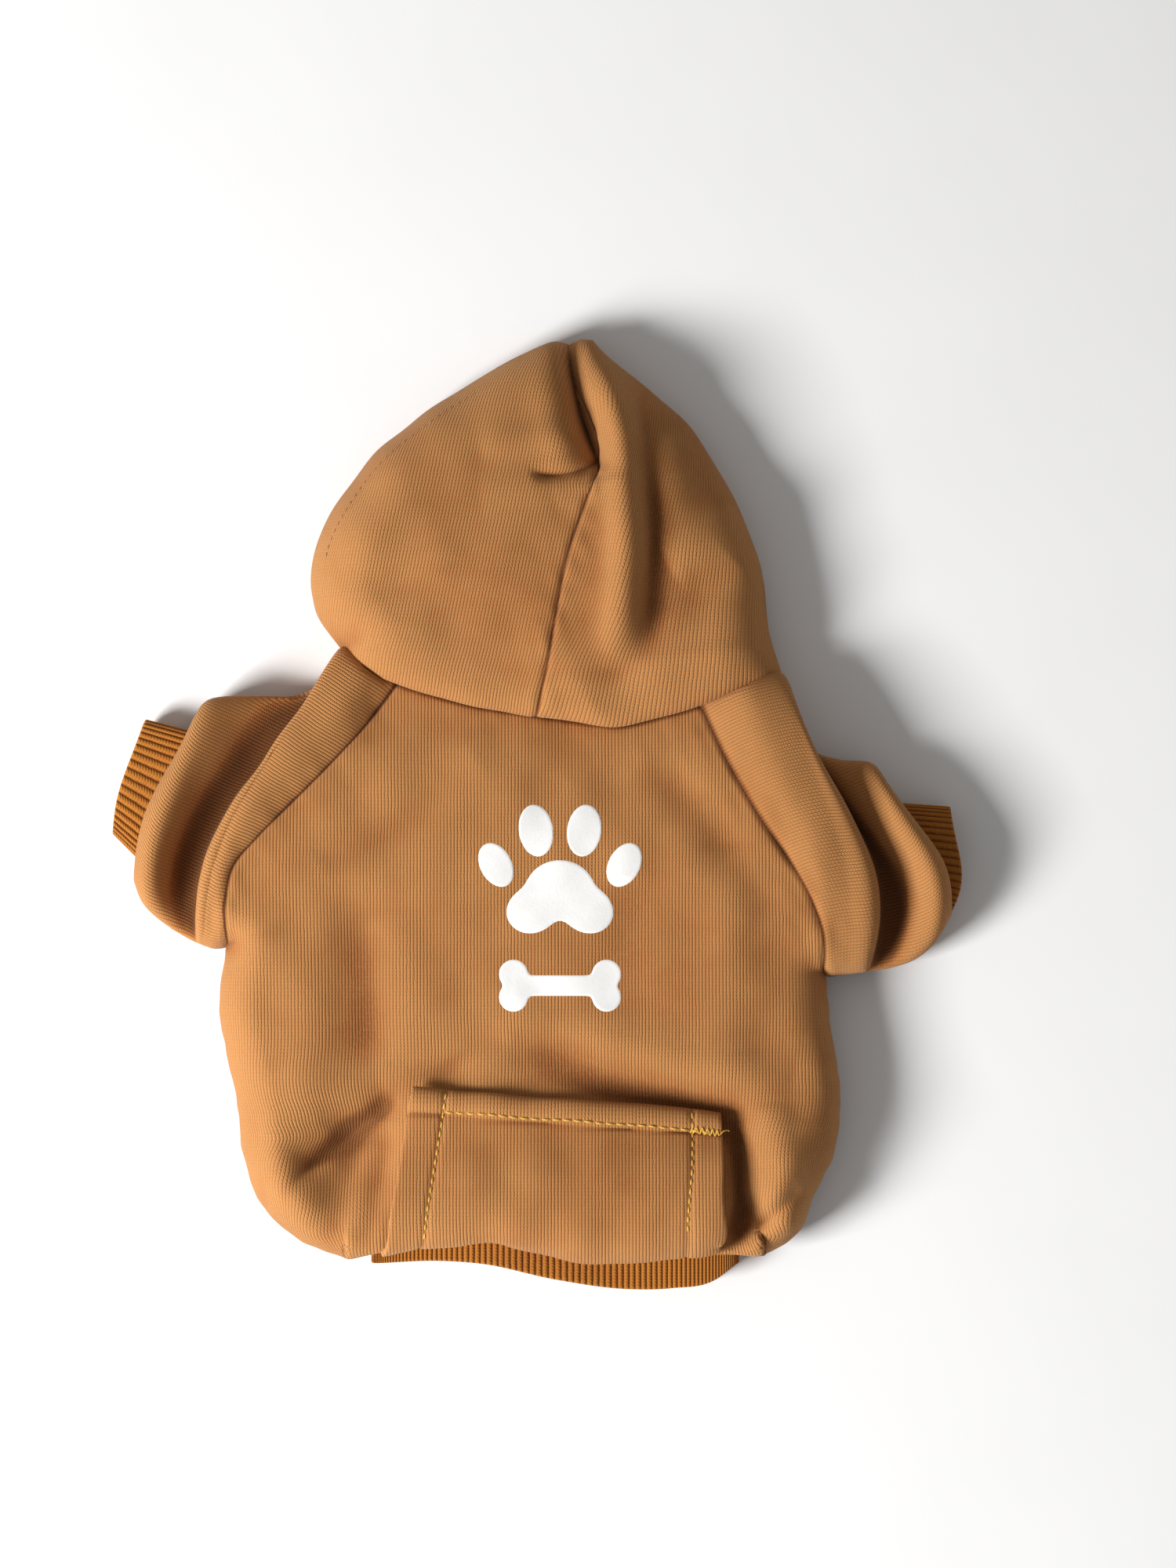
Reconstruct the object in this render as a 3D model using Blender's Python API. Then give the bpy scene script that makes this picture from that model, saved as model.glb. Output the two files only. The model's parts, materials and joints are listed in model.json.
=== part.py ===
"""Small dog hoodie in fleece-backed knit, lying flat with its back up.

Metres, +Z up. +Y runs from the waist to the hood, and +X is to the right as the back is seen.
The origin is under the middle of the garment, at the surface that it lies on.
Each panel of cloth is drawn as the middle of its thickness, in rows and columns that follow
its seams. Panels that meet share the points and the directions of their seam, so a change of
any size moves both. The panels are worked out from the nape, where the hood's centre seam
meets the neck, and the whole is then moved to its origin.
"""

import bmesh
import bpy
import numpy as np

# Cloth
CLOTH = 0.0020  # fleece-backed knit
RIB_CLOTH = 0.0018  # ribbed knit of the cuffs and the waist
SEAM_GAP = 0.0003  # between two panels that a seam joins
CREASE_EASE = 0.0005  # further back on each side, where a seam lies in a sharp crease
NECK_GAP = 0.0008  # between the hood's edge and the neckline, which meet at a slant

# Body, laid flat
CHEST_WIDTH = 0.1805
BODY_LENGTH = 0.1566  # nape to the fold above the waist
BODY_LOFT = 0.0215  # height of the back
SIDE_HEIGHT = 0.0072  # height of the side seams
SIDE_ROLL = 0.0115  # how wide the back rounds over at its sides
BELLY_ROLL = 0.0065  # how wide the belly rounds up at its sides
WAIST_ROLL = 0.0080  # how wide the back rounds over above the waist
WAIST_FOLD_HEIGHT = 0.0170  # height of the outermost point of that fold
WAIST_WAVE = 0.0033  # how far that fold wanders up and down
TUCK = 0.0120  # how far the waist seam lies inside the fold
TUCK_WIDTH = 0.1130
BACK_FOLD = 0.0040  # height that the shares of the back's folds are taken of

# Waist rib
WAIST_RIB_WIDTH = 0.1060
WAIST_RIB_LENGTH = 0.0215
WAIST_RIB_LOFT = 0.0098

# Neck
NECK_WIDTH = 0.1300
NECK_RISE = 0.0200  # how far the neckline climbs from the nape to the left shoulder
SHOULDER_HEIGHT = 0.0090  # of the fold where the neckline turns under

# Hood
HOOD_WIDTH = 0.1340
HOOD_LENGTH = 0.1121  # nape to the top of the face opening
HOOD_LOFT = 0.0270
HOOD_EDGE_HEIGHT = 0.0062
HOOD_ROLL = 0.0170  # how wide the hood rounds over at its outline
HOOD_UNDER_ROLL = 0.0060
HOOD_FOLD = 0.0080  # height that the shares of the hood's folds are taken of

# Sleeves and cuffs
SLEEVE_REACH = 0.0450  # shoulder to the sleeve's end
SLEEVE_SPAN = 0.0600  # width of the sleeve, laid flat
SLEEVE_LOFT = 0.0230
CUFF_INSET = 0.0034  # how much further in each end of the cuff lies than the sleeve's
CUFF_MOUTH = 0.0335
CUFF_LENGTH = 0.0178  # that the shares of the cuffs are taken of
CUFF_LOFT = 0.0094

# Pocket
POCKET_ROOM = 0.0056  # how far it stands off the back in its middle
POCKET_GAP = 0.0004  # where its top is sewn down

# Rows and columns of each panel
BODY_COLUMNS = 26
BELLY_COLUMNS = 14
TUCK_ROWS = 3
SIDE_ROWS = 14
RAGLAN_ROWS = 10
HOOD_ROWS = 18
HOOD_COLUMNS = 12
HOOD_UNDER_COLUMNS = 5
CUFF_ROWS = 4
RIB_COLUMNS = 24
POCKET_COLUMNS = 14
POCKET_ROWS = 9
OUTLINE_STEPS = 240

# How the curves are drawn
MERGE = 0.000002  # points closer than this are one
EDGE_CROWDING = 0.72  # of columns towards the edges of a panel that rounds over there
RAGLAN_CROWDING = 0.5  # of rows towards the armpit
RING_FLATNESS = 0.55  # of a sleeve's loop: 1 is an ellipse, less is flatter on top
BOW_LEAN = 1.6  # how far a ring's bow leans towards its tail
UNDER_CROWDING = 1.7
POCKET_CROWDING = 1.4
NECK_FADE = 0.22  # share of the hood that the neckline's curve reaches into
THROAT_TURN = 0.25  # height of the neckline just under the shoulder, of SHOULDER_HEIGHT
POCKET_HEM = 0.0008  # how far the pocket's lower edge stays inside the waist fold
POCKET_SIDE_ROOM = 0.85  # share of its room that the pocket has at its open sides
POCKET_FULLNESS = 0.7  # of its room from side to side: less is fuller
CORNER_TURN = 2.0  # how much faster the tucked cloth rises at its corners than the sides
CREASE_FROM = 0.70  # share of the hood's seam above which it lies in the crease

CARAMEL = (0.43, 0.20, 0.065)
RUST = (0.47, 0.19, 0.035)
CLOTH_ROUGHNESS = 0.9
SHARP_ANGLE = 50.0  # degrees, above which an edge of the cloth is shaded sharp
TINY = 1e-12  # keeps a length from being divided by nothing


def table(names, *rows):
    """Columns by name, of rows written one section or fold to a line."""
    return dict(zip(names.split(), np.array(rows, dtype=float).T))


# Neckline on the back, left shoulder to right: shares of NECK_WIDTH and NECK_RISE
NECK = table(
    "across rise",
    (-0.432, 0.990),  # left shoulder's fold
    (-0.382, 0.680),
    (-0.311, 0.470),  # top of the left raglan seam
    (-0.152, 0.160),
    (0.000, 0.000),  # nape
    (0.131, -0.125),
    (0.200, -0.150),
    (0.290, -0.010),
    (0.371, 0.150),  # top of the right raglan seam
    (0.468, 0.425),
    (0.546, 0.610),  # right shoulder's fold
)
# Neckline under the throat, in the same shares
THROAT = table(
    "across rise",
    (-0.432, 0.990),
    (-0.380, 0.805),
    (-0.308, 0.555),  # top of the belly's left raglan seam
    (0.000, 0.175),  # where the face opening's two ends meet
    (0.354, 0.255),  # top of the belly's right raglan seam
    (0.487, 0.505),
    (0.546, 0.610),
)
# Rows of those two tables, counted from 0
NECK_ROWS = {"left": 2, "nape": 4, "right": 8}
THROAT_ROWS = {"left": 2, "middle": 3, "right": 4}

# Side seams, armpit to the corner of the waist: across in half chest widths, along in body
# lengths from the nape
SIDES = table(
    "left_across left_along right_across right_along",
    (-1.008, 0.427, 0.942, 0.480),  # armpits
    (-1.029, 0.545, 0.957, 0.574),
    (-1.003, 0.633, 0.980, 0.660),
    (-0.964, 0.721, 0.986, 0.735),
    (-0.950, 0.815, 0.967, 0.815),
    (-0.903, 0.897, 0.905, 0.890),
    (-0.808, 0.958, 0.855, 0.957),
    (-0.615, 1.007, 0.742, 1.000),  # corners above the waist
)
# Raglan seams on the back, from the neck: along the straight line to the armpit, and out from
# it, in shares of its length
RAGLAN = table(
    "left_along left_out right_along right_out",
    (0.000, 0.000, 0.000, 0.000),
    (0.175, 0.013, 0.231, 0.003),
    (0.349, 0.041, 0.419, 0.021),
    (0.523, 0.077, 0.598, 0.050),
    (0.663, 0.106, 0.751, 0.064),
    (0.778, 0.118, 0.850, 0.055),
    (0.878, 0.080, 0.925, 0.032),
    (1.000, 0.000, 1.000, 0.000),
)
# Height of the back along its length, as shares of BODY_LENGTH and BODY_LOFT
BACK_PROFILE = table(
    "along height",
    (-0.130, 0.780),
    (0.000, 0.790),
    (0.080, 0.905),
    (0.200, 0.985),
    (0.500, 1.030),
    (0.800, 1.010),
    (1.050, 1.000),
)
# How the fold above the waist wanders, corner to corner, in shares of WAIST_WAVE
WAIST_FOLD = table(
    "across wave",
    (0.00, 0.00),
    (0.10, 0.90),
    (0.25, 1.70),
    (0.34, 2.02),
    (0.48, 0.72),
    (0.58, -0.06),
    (0.75, 0.13),
    (0.90, 0.33),
    (1.00, 0.00),
)
# Length of the waist rib across its width, in shares of WAIST_RIB_LENGTH
WAIST_MOUTH = table(
    "across length",
    (0.00, 0.66),
    (0.18, 0.62),
    (0.30, 0.66),
    (0.50, 0.87),
    (0.70, 1.00),
    (0.82, 0.99),
    (0.94, 0.88),
    (1.00, 0.66),
)
# Folds and dents of the back: ends in half chest widths and body lengths from the nape,
# reach to each side in half chest widths, height in shares of BACK_FOLD
BACK_FOLDS = table(
    "x0 y0 x1 y1 reach height",
    (0.05, 0.605, 0.60, 0.745, 0.115, -0.70),  # slanting dip above the pocket
    (-0.52, 0.735, -0.74, 0.815, 0.075, -0.75),  # crease from the pocket's top left corner
    (-0.59, 0.790, -0.64, 0.930, 0.085, -1.00),  # hollow left of the pocket
    (-0.80, 0.860, -0.83, 0.780, 0.110, 0.40),  # swell beside it
    (0.80, 0.900, 0.81, 0.830, 0.080, 0.55),  # swell right of the pocket
    (0.60, 0.975, 0.70, 0.925, 0.060, -0.90),  # crease at the pocket's lower right corner
    (-0.52, 0.380, -0.54, 0.580, 0.120, -0.35),  # soft band down the left
    (0.74, 0.450, 0.78, 0.640, 0.110, -0.40),  # soft band down the right
    (0.10, 0.060, 0.32, 0.100, 0.140, -0.35),  # dip under the hood
)

# Sleeves, a row for each ring from the raglan seam out. Head is the end towards the neck and
# tail the end at the armpit: out and back from the shoulder's fold, and from the armpit, in
# shares of SLEEVE_REACH and SLEEVE_SPAN. Bow is how far the ring's upper side bends outwards,
# crest, head_height and tail_height are shares of SLEEVE_LOFT.
SLEEVE_COLUMNS = (
    "head_out head_back tail_out tail_back bow under_bow crest head_height tail_height"
)
LEFT_SLEEVE = table(
    SLEEVE_COLUMNS,
    (0.000, 0.000, 0.085, 0.000, 0.160, 0.040, 1.06, 0.74, 0.33),  # crest of the strip
    (0.000, 0.000, 0.144, -0.015, 0.120, 0.040, 1.04, 0.39, 0.33),
    (0.140, 0.157, 0.175, -0.025, 0.130, 0.040, 0.90, 0.39, 0.33),  # ridge
    (0.202, 0.222, 0.222, -0.035, 0.155, 0.040, 0.60, 0.36, 0.31),
    (0.339, 0.240, 0.275, -0.055, 0.135, 0.030, 0.53, 0.35, 0.31),  # valley
    (0.619, 0.242, 0.420, -0.125, 0.095, 0.010, 0.74, 0.36, 0.31),
    (0.868, 0.252, 0.530, -0.210, 0.050, -0.010, 0.88, 0.36, 0.31),  # crest of the puff
    (0.945, 0.322, 0.588, -0.300, 0.060, -0.020, 0.73, 0.33, 0.30),  # the puff's end
    (0.958, 0.340, 0.596, -0.322, 0.025, -0.010, 0.60, 0.31, 0.30),
    (0.970, 0.351, 0.602, -0.338, -0.020, 0.000, 0.56, 0.30, 0.29),  # sewn to the cuff
)
RIGHT_SLEEVE = table(
    SLEEVE_COLUMNS,
    (0.000, 0.000, 0.060, -0.005, 0.085, 0.040, 1.06, 0.74, 0.33),
    (0.000, 0.000, 0.140, -0.013, 0.095, 0.040, 1.04, 0.39, 0.33),
    (0.084, 0.135, 0.255, -0.020, 0.145, 0.040, 0.90, 0.39, 0.33),
    (0.150, 0.277, 0.370, -0.034, 0.165, 0.040, 0.60, 0.37, 0.32),
    (0.247, 0.398, 0.470, -0.048, 0.150, 0.030, 0.52, 0.36, 0.31),
    (0.425, 0.428, 0.615, -0.100, 0.120, 0.010, 0.74, 0.36, 0.31),
    (0.590, 0.437, 0.722, -0.170, 0.090, -0.010, 0.86, 0.36, 0.31),
    (0.669, 0.502, 0.812, -0.278, 0.070, -0.020, 0.73, 0.33, 0.30),
    (0.679, 0.525, 0.818, -0.298, 0.030, -0.010, 0.60, 0.31, 0.30),
    (0.689, 0.550, 0.824, -0.317, -0.020, 0.000, 0.56, 0.30, 0.29),
)
OPEN_RINGS = 2  # that end at the neckline, with the raglan seam as the first

# Cuffs, left and right: the middle of the mouth, out and along from the middle of the seam in
# cuff lengths, how far its tail end leans out, its width in shares of CUFF_MOUTH, and its bow
CUFFS = table(
    "out along lean mouth bow",
    (0.600, 0.362, 0.268, 1.00, 0.04),
    (0.560, -0.179, 0.017, 0.88, 0.08),
)

# Hood: centre seam from the nape, and outline from each shoulder, in shares of HOOD_WIDTH
# across and HOOD_LENGTH along. Row says how far up the panel the point lies.
HOOD_SEAM = table(
    "row across along",
    (0.00, 0.000, 0.000),
    (0.16, 0.028, 0.145),
    (0.30, 0.043, 0.255),
    (0.48, 0.068, 0.405),
    (0.66, 0.110, 0.555),
    (0.80, 0.141, 0.662),
    (0.92, 0.122, 0.775),
    (1.00, 0.086, 0.872),
)
HOOD_LEFT = table(
    "row across along",
    (0.06, -0.462, 0.247),
    (0.16, -0.483, 0.319),
    (0.27, -0.484, 0.392),
    (0.38, -0.466, 0.475),
    (0.49, -0.426, 0.565),
    (0.60, -0.366, 0.665),
    (0.72, -0.278, 0.760),
    (0.83, -0.153, 0.862),
    (0.90, -0.039, 0.940),
    (0.945, 0.030, 0.979),
    (1.00, 0.074, 0.972),
)
HOOD_RIGHT = table(
    "row across along",
    (0.08, 0.509, 0.205),
    (0.20, 0.499, 0.288),
    (0.31, 0.492, 0.350),
    (0.43, 0.478, 0.423),
    (0.54, 0.451, 0.512),
    (0.65, 0.417, 0.595),
    (0.76, 0.360, 0.710),
    (0.86, 0.292, 0.807),
    (0.93, 0.204, 0.896),
    (0.965, 0.142, 0.958),
    (0.985, 0.112, 0.990),
    (1.00, 0.074, 0.972),
)
# How far under the hood the face opening's hem lies, of the way to the throat
FACE_EDGE = table(
    "row reach",
    (0.00, 1.00),
    (0.08, 0.68),
    (0.16, 0.36),
    (0.25, 0.17),
    (0.40, 0.11),
    (0.70, 0.085),
    (1.00, 0.075),
)
# Height of the hood from the neck to the top, in shares of HOOD_LOFT
HOOD_PROFILE = table(
    "row height",
    (0.00, 0.71),
    (0.05, 0.86),
    (0.12, 0.96),
    (0.30, 1.00),
    (0.55, 0.98),
    (0.78, 0.90),
    (1.00, 0.74),
)
# Folds of the hood: ends in hood widths and hood lengths from the nape, reach to each side in
# hood widths, height in shares of HOOD_FOLD
HOOD_FOLDS = table(
    "x0 y0 x1 y1 reach height",
    (0.142, 0.680, 0.084, 1.000, 0.062, -0.60),  # deep crease along the seam
    (0.112, 0.560, 0.142, 0.680, 0.045, -0.35),
    (0.195, 0.370, 0.190, 0.660, 0.055, 0.45),  # roll beside it
    (0.205, 0.660, 0.165, 0.900, 0.045, 0.35),
    (0.245, 0.470, 0.225, 0.760, 0.040, -0.35),  # valley beyond the roll
    (0.130, 0.655, 0.020, 0.648, 0.040, -0.16),  # short crease across the left half
    (-0.260, 0.300, -0.080, 0.120, 0.080, -0.30),  # slanting dip low on the left
    (0.350, 0.315, 0.175, 0.105, 0.070, -0.32),  # slanting dip low on the right
    (0.370, 0.440, 0.440, 0.485, 0.070, 0.20),
)

# Pocket's edges on the back, bottom to top: in half chest widths and body lengths
POCKET_EDGE = table(
    "left_across left_along right_across right_along",
    (-0.500, 1.005, 0.590, 1.005),
    (-0.470, 0.960, 0.592, 0.945),
    (-0.440, 0.860, 0.605, 0.840),
    (-0.392, 0.692, 0.598, 0.741),
)

# How far the pocket stands off the back, bottom to top, in shares of POCKET_ROOM
POCKET_STAND = table(
    "up room",
    (0.00, 0.00),
    (0.20, 0.60),
    (0.50, 1.00),
    (0.70, 0.60),
    (0.85, 0.00),  # sewn line
    (1.00, 0.25),  # free fold above it
)


def blend(a, b, share):
    return a + (b - a) * share


def smooth(at, knots, values):
    """Values at some places of a smooth curve through a table's rows."""
    knots = np.asarray(knots, dtype=float)
    values = np.asarray(values, dtype=float)
    at = np.clip(np.asarray(at, dtype=float), knots[0], knots[-1])
    slopes = np.gradient(values, knots)
    left = np.clip(np.searchsorted(knots, at, side="right") - 1, 0, len(knots) - 2)
    width = knots[left + 1] - knots[left]
    s = (at - knots[left]) / width
    start = (1 + 2 * s) * (1 - s) ** 2 * values[left] + s * (1 - s) ** 2 * width * slopes[left]
    end = s**2 * (3 - 2 * s) * values[left + 1] + s**2 * (s - 1) * width * slopes[left + 1]
    return start + end


def through(points, shares):
    """Points at some shares of the length of a smooth curve through given points."""
    points = np.asarray(points, dtype=float)
    lengths = np.linalg.norm(np.diff(points, axis=0), axis=1)
    knots = np.concatenate([[0.0], np.cumsum(lengths)]) / lengths.sum()
    return np.stack([smooth(shares, knots, column) for column in points.T], axis=-1)


def rounding(share):
    """A quarter circle: 0 and upright at an edge, 1 and level from one roll's width on."""
    inside = np.clip(share, 0.0, 1.0)
    return np.sqrt(1.0 - (1.0 - inside) ** 2)


def fold_height(x, y, folds, wide, long, high):
    """Height that a table's folds add at a place, each a soft ridge or dip along a line."""
    total = np.zeros_like(x)
    for x0, y0, x1, y1, reach, height in zip(*folds.values()):
        start = np.array((x0 * wide, y0 * long))
        run = np.array((x1 * wide, y1 * long)) - start
        share = ((x - start[0]) * run[0] + (y - start[1]) * run[1]) / (run @ run)
        share = np.clip(share, 0.0, 1.0)
        away = np.hypot(x - start[0] - share * run[0], y - start[1] - share * run[1])
        total = total + height * high * np.exp(-((away / (reach * wide)) ** 2))
    return total


def close_to_edges(count):
    """Column places from 0 to 1 that crowd towards both edges, where the cloth rounds over."""
    even = np.linspace(0.0, 1.0, count + 1)
    return blend(even, (1 - np.cos(np.pi * even)) / 2, EDGE_CROWDING)


# The body's outline in plan, shared by the back, the belly, the sleeves and the pocket
HALF_CHEST = (CHEST_WIDTH - CLOTH) / 2


def neck_point(index, ring):
    rows = np.arange(len(ring["across"]))
    x = NECK_WIDTH * smooth(index, rows, ring["across"])
    y = NECK_RISE * smooth(index, rows, ring["rise"])
    return np.stack([x, y], axis=-1)


def side_seam(side, shares):
    """From the corner above the waist to the armpit."""
    points = np.stack(
        [SIDES[side + "_across"] * HALF_CHEST, -SIDES[side + "_along"] * BODY_LENGTH], axis=-1
    )
    return through(points[::-1], shares)


def armpit(side):
    return side_seam(side, np.array([1.0]))[0]


def waist_corner(side):
    return side_seam(side, np.array([0.0]))[0]


def raglan_seam(side, shares):
    """On the back, from the neck to the armpit."""
    start = neck_point(NECK_ROWS[side], NECK)
    line = armpit(side) - start
    out = np.array((line[1], -line[0])) if side == "left" else np.array((-line[1], line[0]))
    along = RAGLAN[side + "_along"][:, None]
    points = start + along * line + RAGLAN[side + "_out"][:, None] * out
    return through(points, shares)


def belly_raglan(side, shares):
    """On the belly, from the throat to the armpit."""
    start = neck_point(THROAT_ROWS[side], THROAT)
    return start + shares[:, None] * (armpit(side) - start)


def waist_fold(shares):
    """The outermost line of the fold above the waist, left corner to right."""
    left, right = waist_corner("left"), waist_corner("right")
    line = left + shares[:, None] * (right - left)
    line[:, 1] += WAIST_WAVE * smooth(shares, WAIST_FOLD["across"], WAIST_FOLD["wave"])
    return line


def waist_fold_height(shares):
    span = np.linalg.norm(waist_corner("right") - waist_corner("left"))
    inside = np.minimum(shares, 1.0 - shares) * span
    rise = rounding(inside / SIDE_ROLL)
    return SIDE_HEIGHT + (WAIST_FOLD_HEIGHT - SIDE_HEIGHT) * rise


def outline():
    """The back's outer edge in plan, with its height and how wide the cloth rounds there."""
    shares = np.linspace(0.0, 1.0, OUTLINE_STEPS)
    left = side_seam("left", shares[::-1])
    fold = waist_fold(shares)
    right = side_seam("right", shares)
    side_heights = np.full(len(shares), SIDE_HEIGHT)
    side_rolls = np.full(len(shares), SIDE_ROLL)
    points = np.concatenate([left, fold, right])
    heights = np.concatenate([side_heights, waist_fold_height(shares), side_heights])
    rolls = np.concatenate([side_rolls, np.full(len(shares), WAIST_ROLL), side_rolls])
    return points, heights, rolls


OUTLINE = outline()


def nearest(x, y, points):
    away = np.hypot(x[..., None] - points[:, 0], y[..., None] - points[:, 1])
    index = away.argmin(axis=-1)
    return np.take_along_axis(away, index[..., None], axis=-1)[..., 0], index


def back_height(x, y):
    """Height of the back at a place in plan."""
    points, heights, rolls = OUTLINE
    away, index = nearest(x, y, points)
    loft = BODY_LOFT * smooth(-y / BODY_LENGTH, BACK_PROFILE["along"], BACK_PROFILE["height"])
    loft = loft + fold_height(x, -y, BACK_FOLDS, HALF_CHEST, BODY_LENGTH, BACK_FOLD)
    return blend(heights[index], loft, rounding(away / rolls[index]))


def belly_height(x, y):
    """Height of the belly, which lies flat and rounds up to the side seams."""
    shares = np.linspace(0.0, 1.0, OUTLINE_STEPS)
    points = np.concatenate([side_seam("left", shares), side_seam("right", shares)])
    away, _ = nearest(x, y, points)
    return blend(SIDE_HEIGHT, CLOTH / 2, rounding(away / BELLY_ROLL))


def patch(left, right, bottom, top, columns):
    """Places in plan between four edges that share their corners."""
    rows = np.concatenate([[0.0], np.cumsum(np.linalg.norm(np.diff(left, axis=0), axis=1))])
    v = (rows / rows[-1])[:, None, None]
    u = columns[None, :, None]
    across = blend(left[:, None, :], right[:, None, :], u)
    along = blend(bottom[None, :, :], top[None, :, :], v)
    corners = blend(blend(bottom[0], bottom[-1], u), blend(top[0], top[-1], u), v)
    return across + along - corners


def raglan_shares():
    """Places along a raglan seam, closer together towards the armpit."""
    even = np.linspace(0.0, 1.0, RAGLAN_ROWS + 1)
    return blend(even, np.sin(np.pi / 2 * even), RAGLAN_CROWDING)


def body_edge(side, raglan):
    """A side of the body in plan: up the side seam and the raglan seam, corner to neck."""
    seam = side_seam(side, np.linspace(0.0, 1.0, SIDE_ROWS + 1))
    return np.concatenate([seam, raglan(side, raglan_shares())[::-1][1:]])


def back_panel():
    columns = close_to_edges(BODY_COLUMNS)
    left = body_edge("left", raglan_seam)
    right = body_edge("right", raglan_seam)
    top = neck_point(blend(NECK_ROWS["left"], NECK_ROWS["right"], columns), NECK)
    plan = patch(left, right, waist_fold(columns), top, columns)
    main = np.dstack([plan, back_height(plan[..., 0], plan[..., 1])])
    return np.concatenate([waist_tuck(columns), main])


def tuck_line(shares):
    """The inner edge of the tucked cloth, which is sewn to the waist rib."""
    left, right = waist_corner("left"), waist_corner("right")
    middle = (left + right) / 2 + np.array((0.0, TUCK))
    line = np.stack([middle[0] + (shares - 0.5) * TUCK_WIDTH, np.full_like(shares, middle[1])], -1)
    return line


def waist_tuck(columns):
    """Rows of the back from the waist seam out to the fold, on its under side."""
    inner = tuck_line(columns)
    outer = waist_fold(columns)
    span = np.minimum(columns, 1.0 - columns) * TUCK_WIDTH
    seam_height = CLOTH / 2 + WAIST_RIB_LOFT + (CLOTH + RIB_CLOTH) / 2 + SEAM_GAP * 2
    low = blend(SIDE_HEIGHT, seam_height, rounding(span / SIDE_ROLL * CORNER_TURN))
    high = waist_fold_height(columns)
    rows = []
    for step in range(TUCK_ROWS):
        turn = np.pi / 2 * step / TUCK_ROWS
        plan = blend(inner, outer, np.sin(turn))
        height = blend(low, high, 1 - np.cos(turn))
        rows.append(np.column_stack([plan, height]))
    return np.array(rows)


def belly_panel():
    columns = close_to_edges(BELLY_COLUMNS)
    left = body_edge("left", belly_raglan)
    right = body_edge("right", belly_raglan)
    top = neck_point(blend(THROAT_ROWS["left"], THROAT_ROWS["right"], columns), THROAT)
    bottom = tuck_line(columns) + np.array((0.0, NECK_GAP))
    bottom[0], bottom[-1] = left[0], right[0]
    plan = patch(left, right, bottom, top, columns)
    return np.dstack([plan, belly_height(plan[..., 0], plan[..., 1])])


def ring(head, tail, columns, bows, ends, crest, floor, side):
    """A flattened loop: over from its head to its tail, and back underneath."""
    line = tail - head
    out = np.array((line[1], -line[0])) if side == "left" else np.array((-line[1], line[0]))
    out = out / np.linalg.norm(out)
    swell = np.sin(np.pi * columns**BOW_LEAN)
    rise = np.sin(np.arccos(np.clip(1 - 2 * columns, -1, 1))) ** RING_FLATNESS
    end = np.where(columns < 0.5, ends[0], ends[1])
    halves = []
    for bow, height in zip(bows, (crest, floor)):
        plan = head + columns[:, None] * line + (bow * swell)[:, None] * out
        halves.append(np.column_stack([plan, blend(end, height, rise)]))
    return np.concatenate([halves[0], halves[1][::-1][1:]])


def sleeve(side):
    """Rings from the raglan seam to the edge that is sewn to the cuff."""
    rows = LEFT_SLEEVE if side == "left" else RIGHT_SLEEVE
    sign = -1 if side == "left" else 1
    shares = raglan_shares()
    upper = raglan_seam(side, shares)
    lower = belly_raglan(side, shares)
    upper = np.column_stack([upper, back_height(upper[:, 0], upper[:, 1])])
    lower = np.column_stack([lower, belly_height(lower[:, 0], lower[:, 1])])
    rings = [np.concatenate([upper, lower[::-1][1:]])]
    even = np.linspace(0.0, 1.0, RAGLAN_ROWS + 1)
    rounded = (1 - np.cos(np.pi * even)) / 2
    shoulder = neck_point(0 if side == "left" else len(NECK["across"]) - 1, NECK)
    pit = armpit(side)
    last = len(rows["crest"]) - 1
    for index in range(last + 1):
        row = {name: values[index] for name, values in rows.items()}
        columns = blend(shares, rounded, min((index + 1) / OPEN_RINGS, 1.0))
        head = shoulder + np.array((sign * row["head_out"] * SLEEVE_REACH, 0.0))
        head = head - np.array((0.0, row["head_back"] * SLEEVE_SPAN))
        tail = pit + np.array((sign * row["tail_out"] * SLEEVE_REACH, 0.0))
        tail = tail - np.array((0.0, row["tail_back"] * SLEEVE_SPAN))
        ends = (row["head_height"] * SLEEVE_LOFT, row["tail_height"] * SLEEVE_LOFT)
        crest = cuff_cover() if index == last else row["crest"] * SLEEVE_LOFT
        bows = (row["bow"] * SLEEVE_SPAN, row["under_bow"] * SLEEVE_SPAN)
        if index + 1 < OPEN_RINGS:
            rings.append(open_ring(side, tail, columns, bows, ends, crest))
            continue
        if index + 1 == OPEN_RINGS:
            ends = (SHOULDER_HEIGHT, ends[1])
        rings.append(ring(head, tail, columns, bows, ends, crest, CLOTH / 2, side))
    return np.array(rings)


def open_ring(side, tail, columns, bows, ends, crest):
    """The ring between the raglan seam and the shoulder, open where the neckline crosses it."""
    over = neck_point(1 if side == "left" else len(NECK["across"]) - 2, NECK)
    under = neck_point(1 if side == "left" else len(THROAT["across"]) - 2, THROAT)
    half = len(columns)
    upper = ring(over, tail, columns, bows, ends, crest, CLOTH / 2, side)[:half]
    under_ends = (SHOULDER_HEIGHT * THROAT_TURN, ends[1])
    lower = ring(under, tail, columns, bows, under_ends, crest, CLOTH / 2, side)[half - 1 :]
    return np.concatenate([upper, lower[1:]])


def cuff_cover():
    """Height of the sleeve's tucked edge, which lies on the cuff."""
    return RIB_CLOTH / 2 + CUFF_LOFT + (CLOTH + RIB_CLOTH) / 2 + 2 * SEAM_GAP


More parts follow.
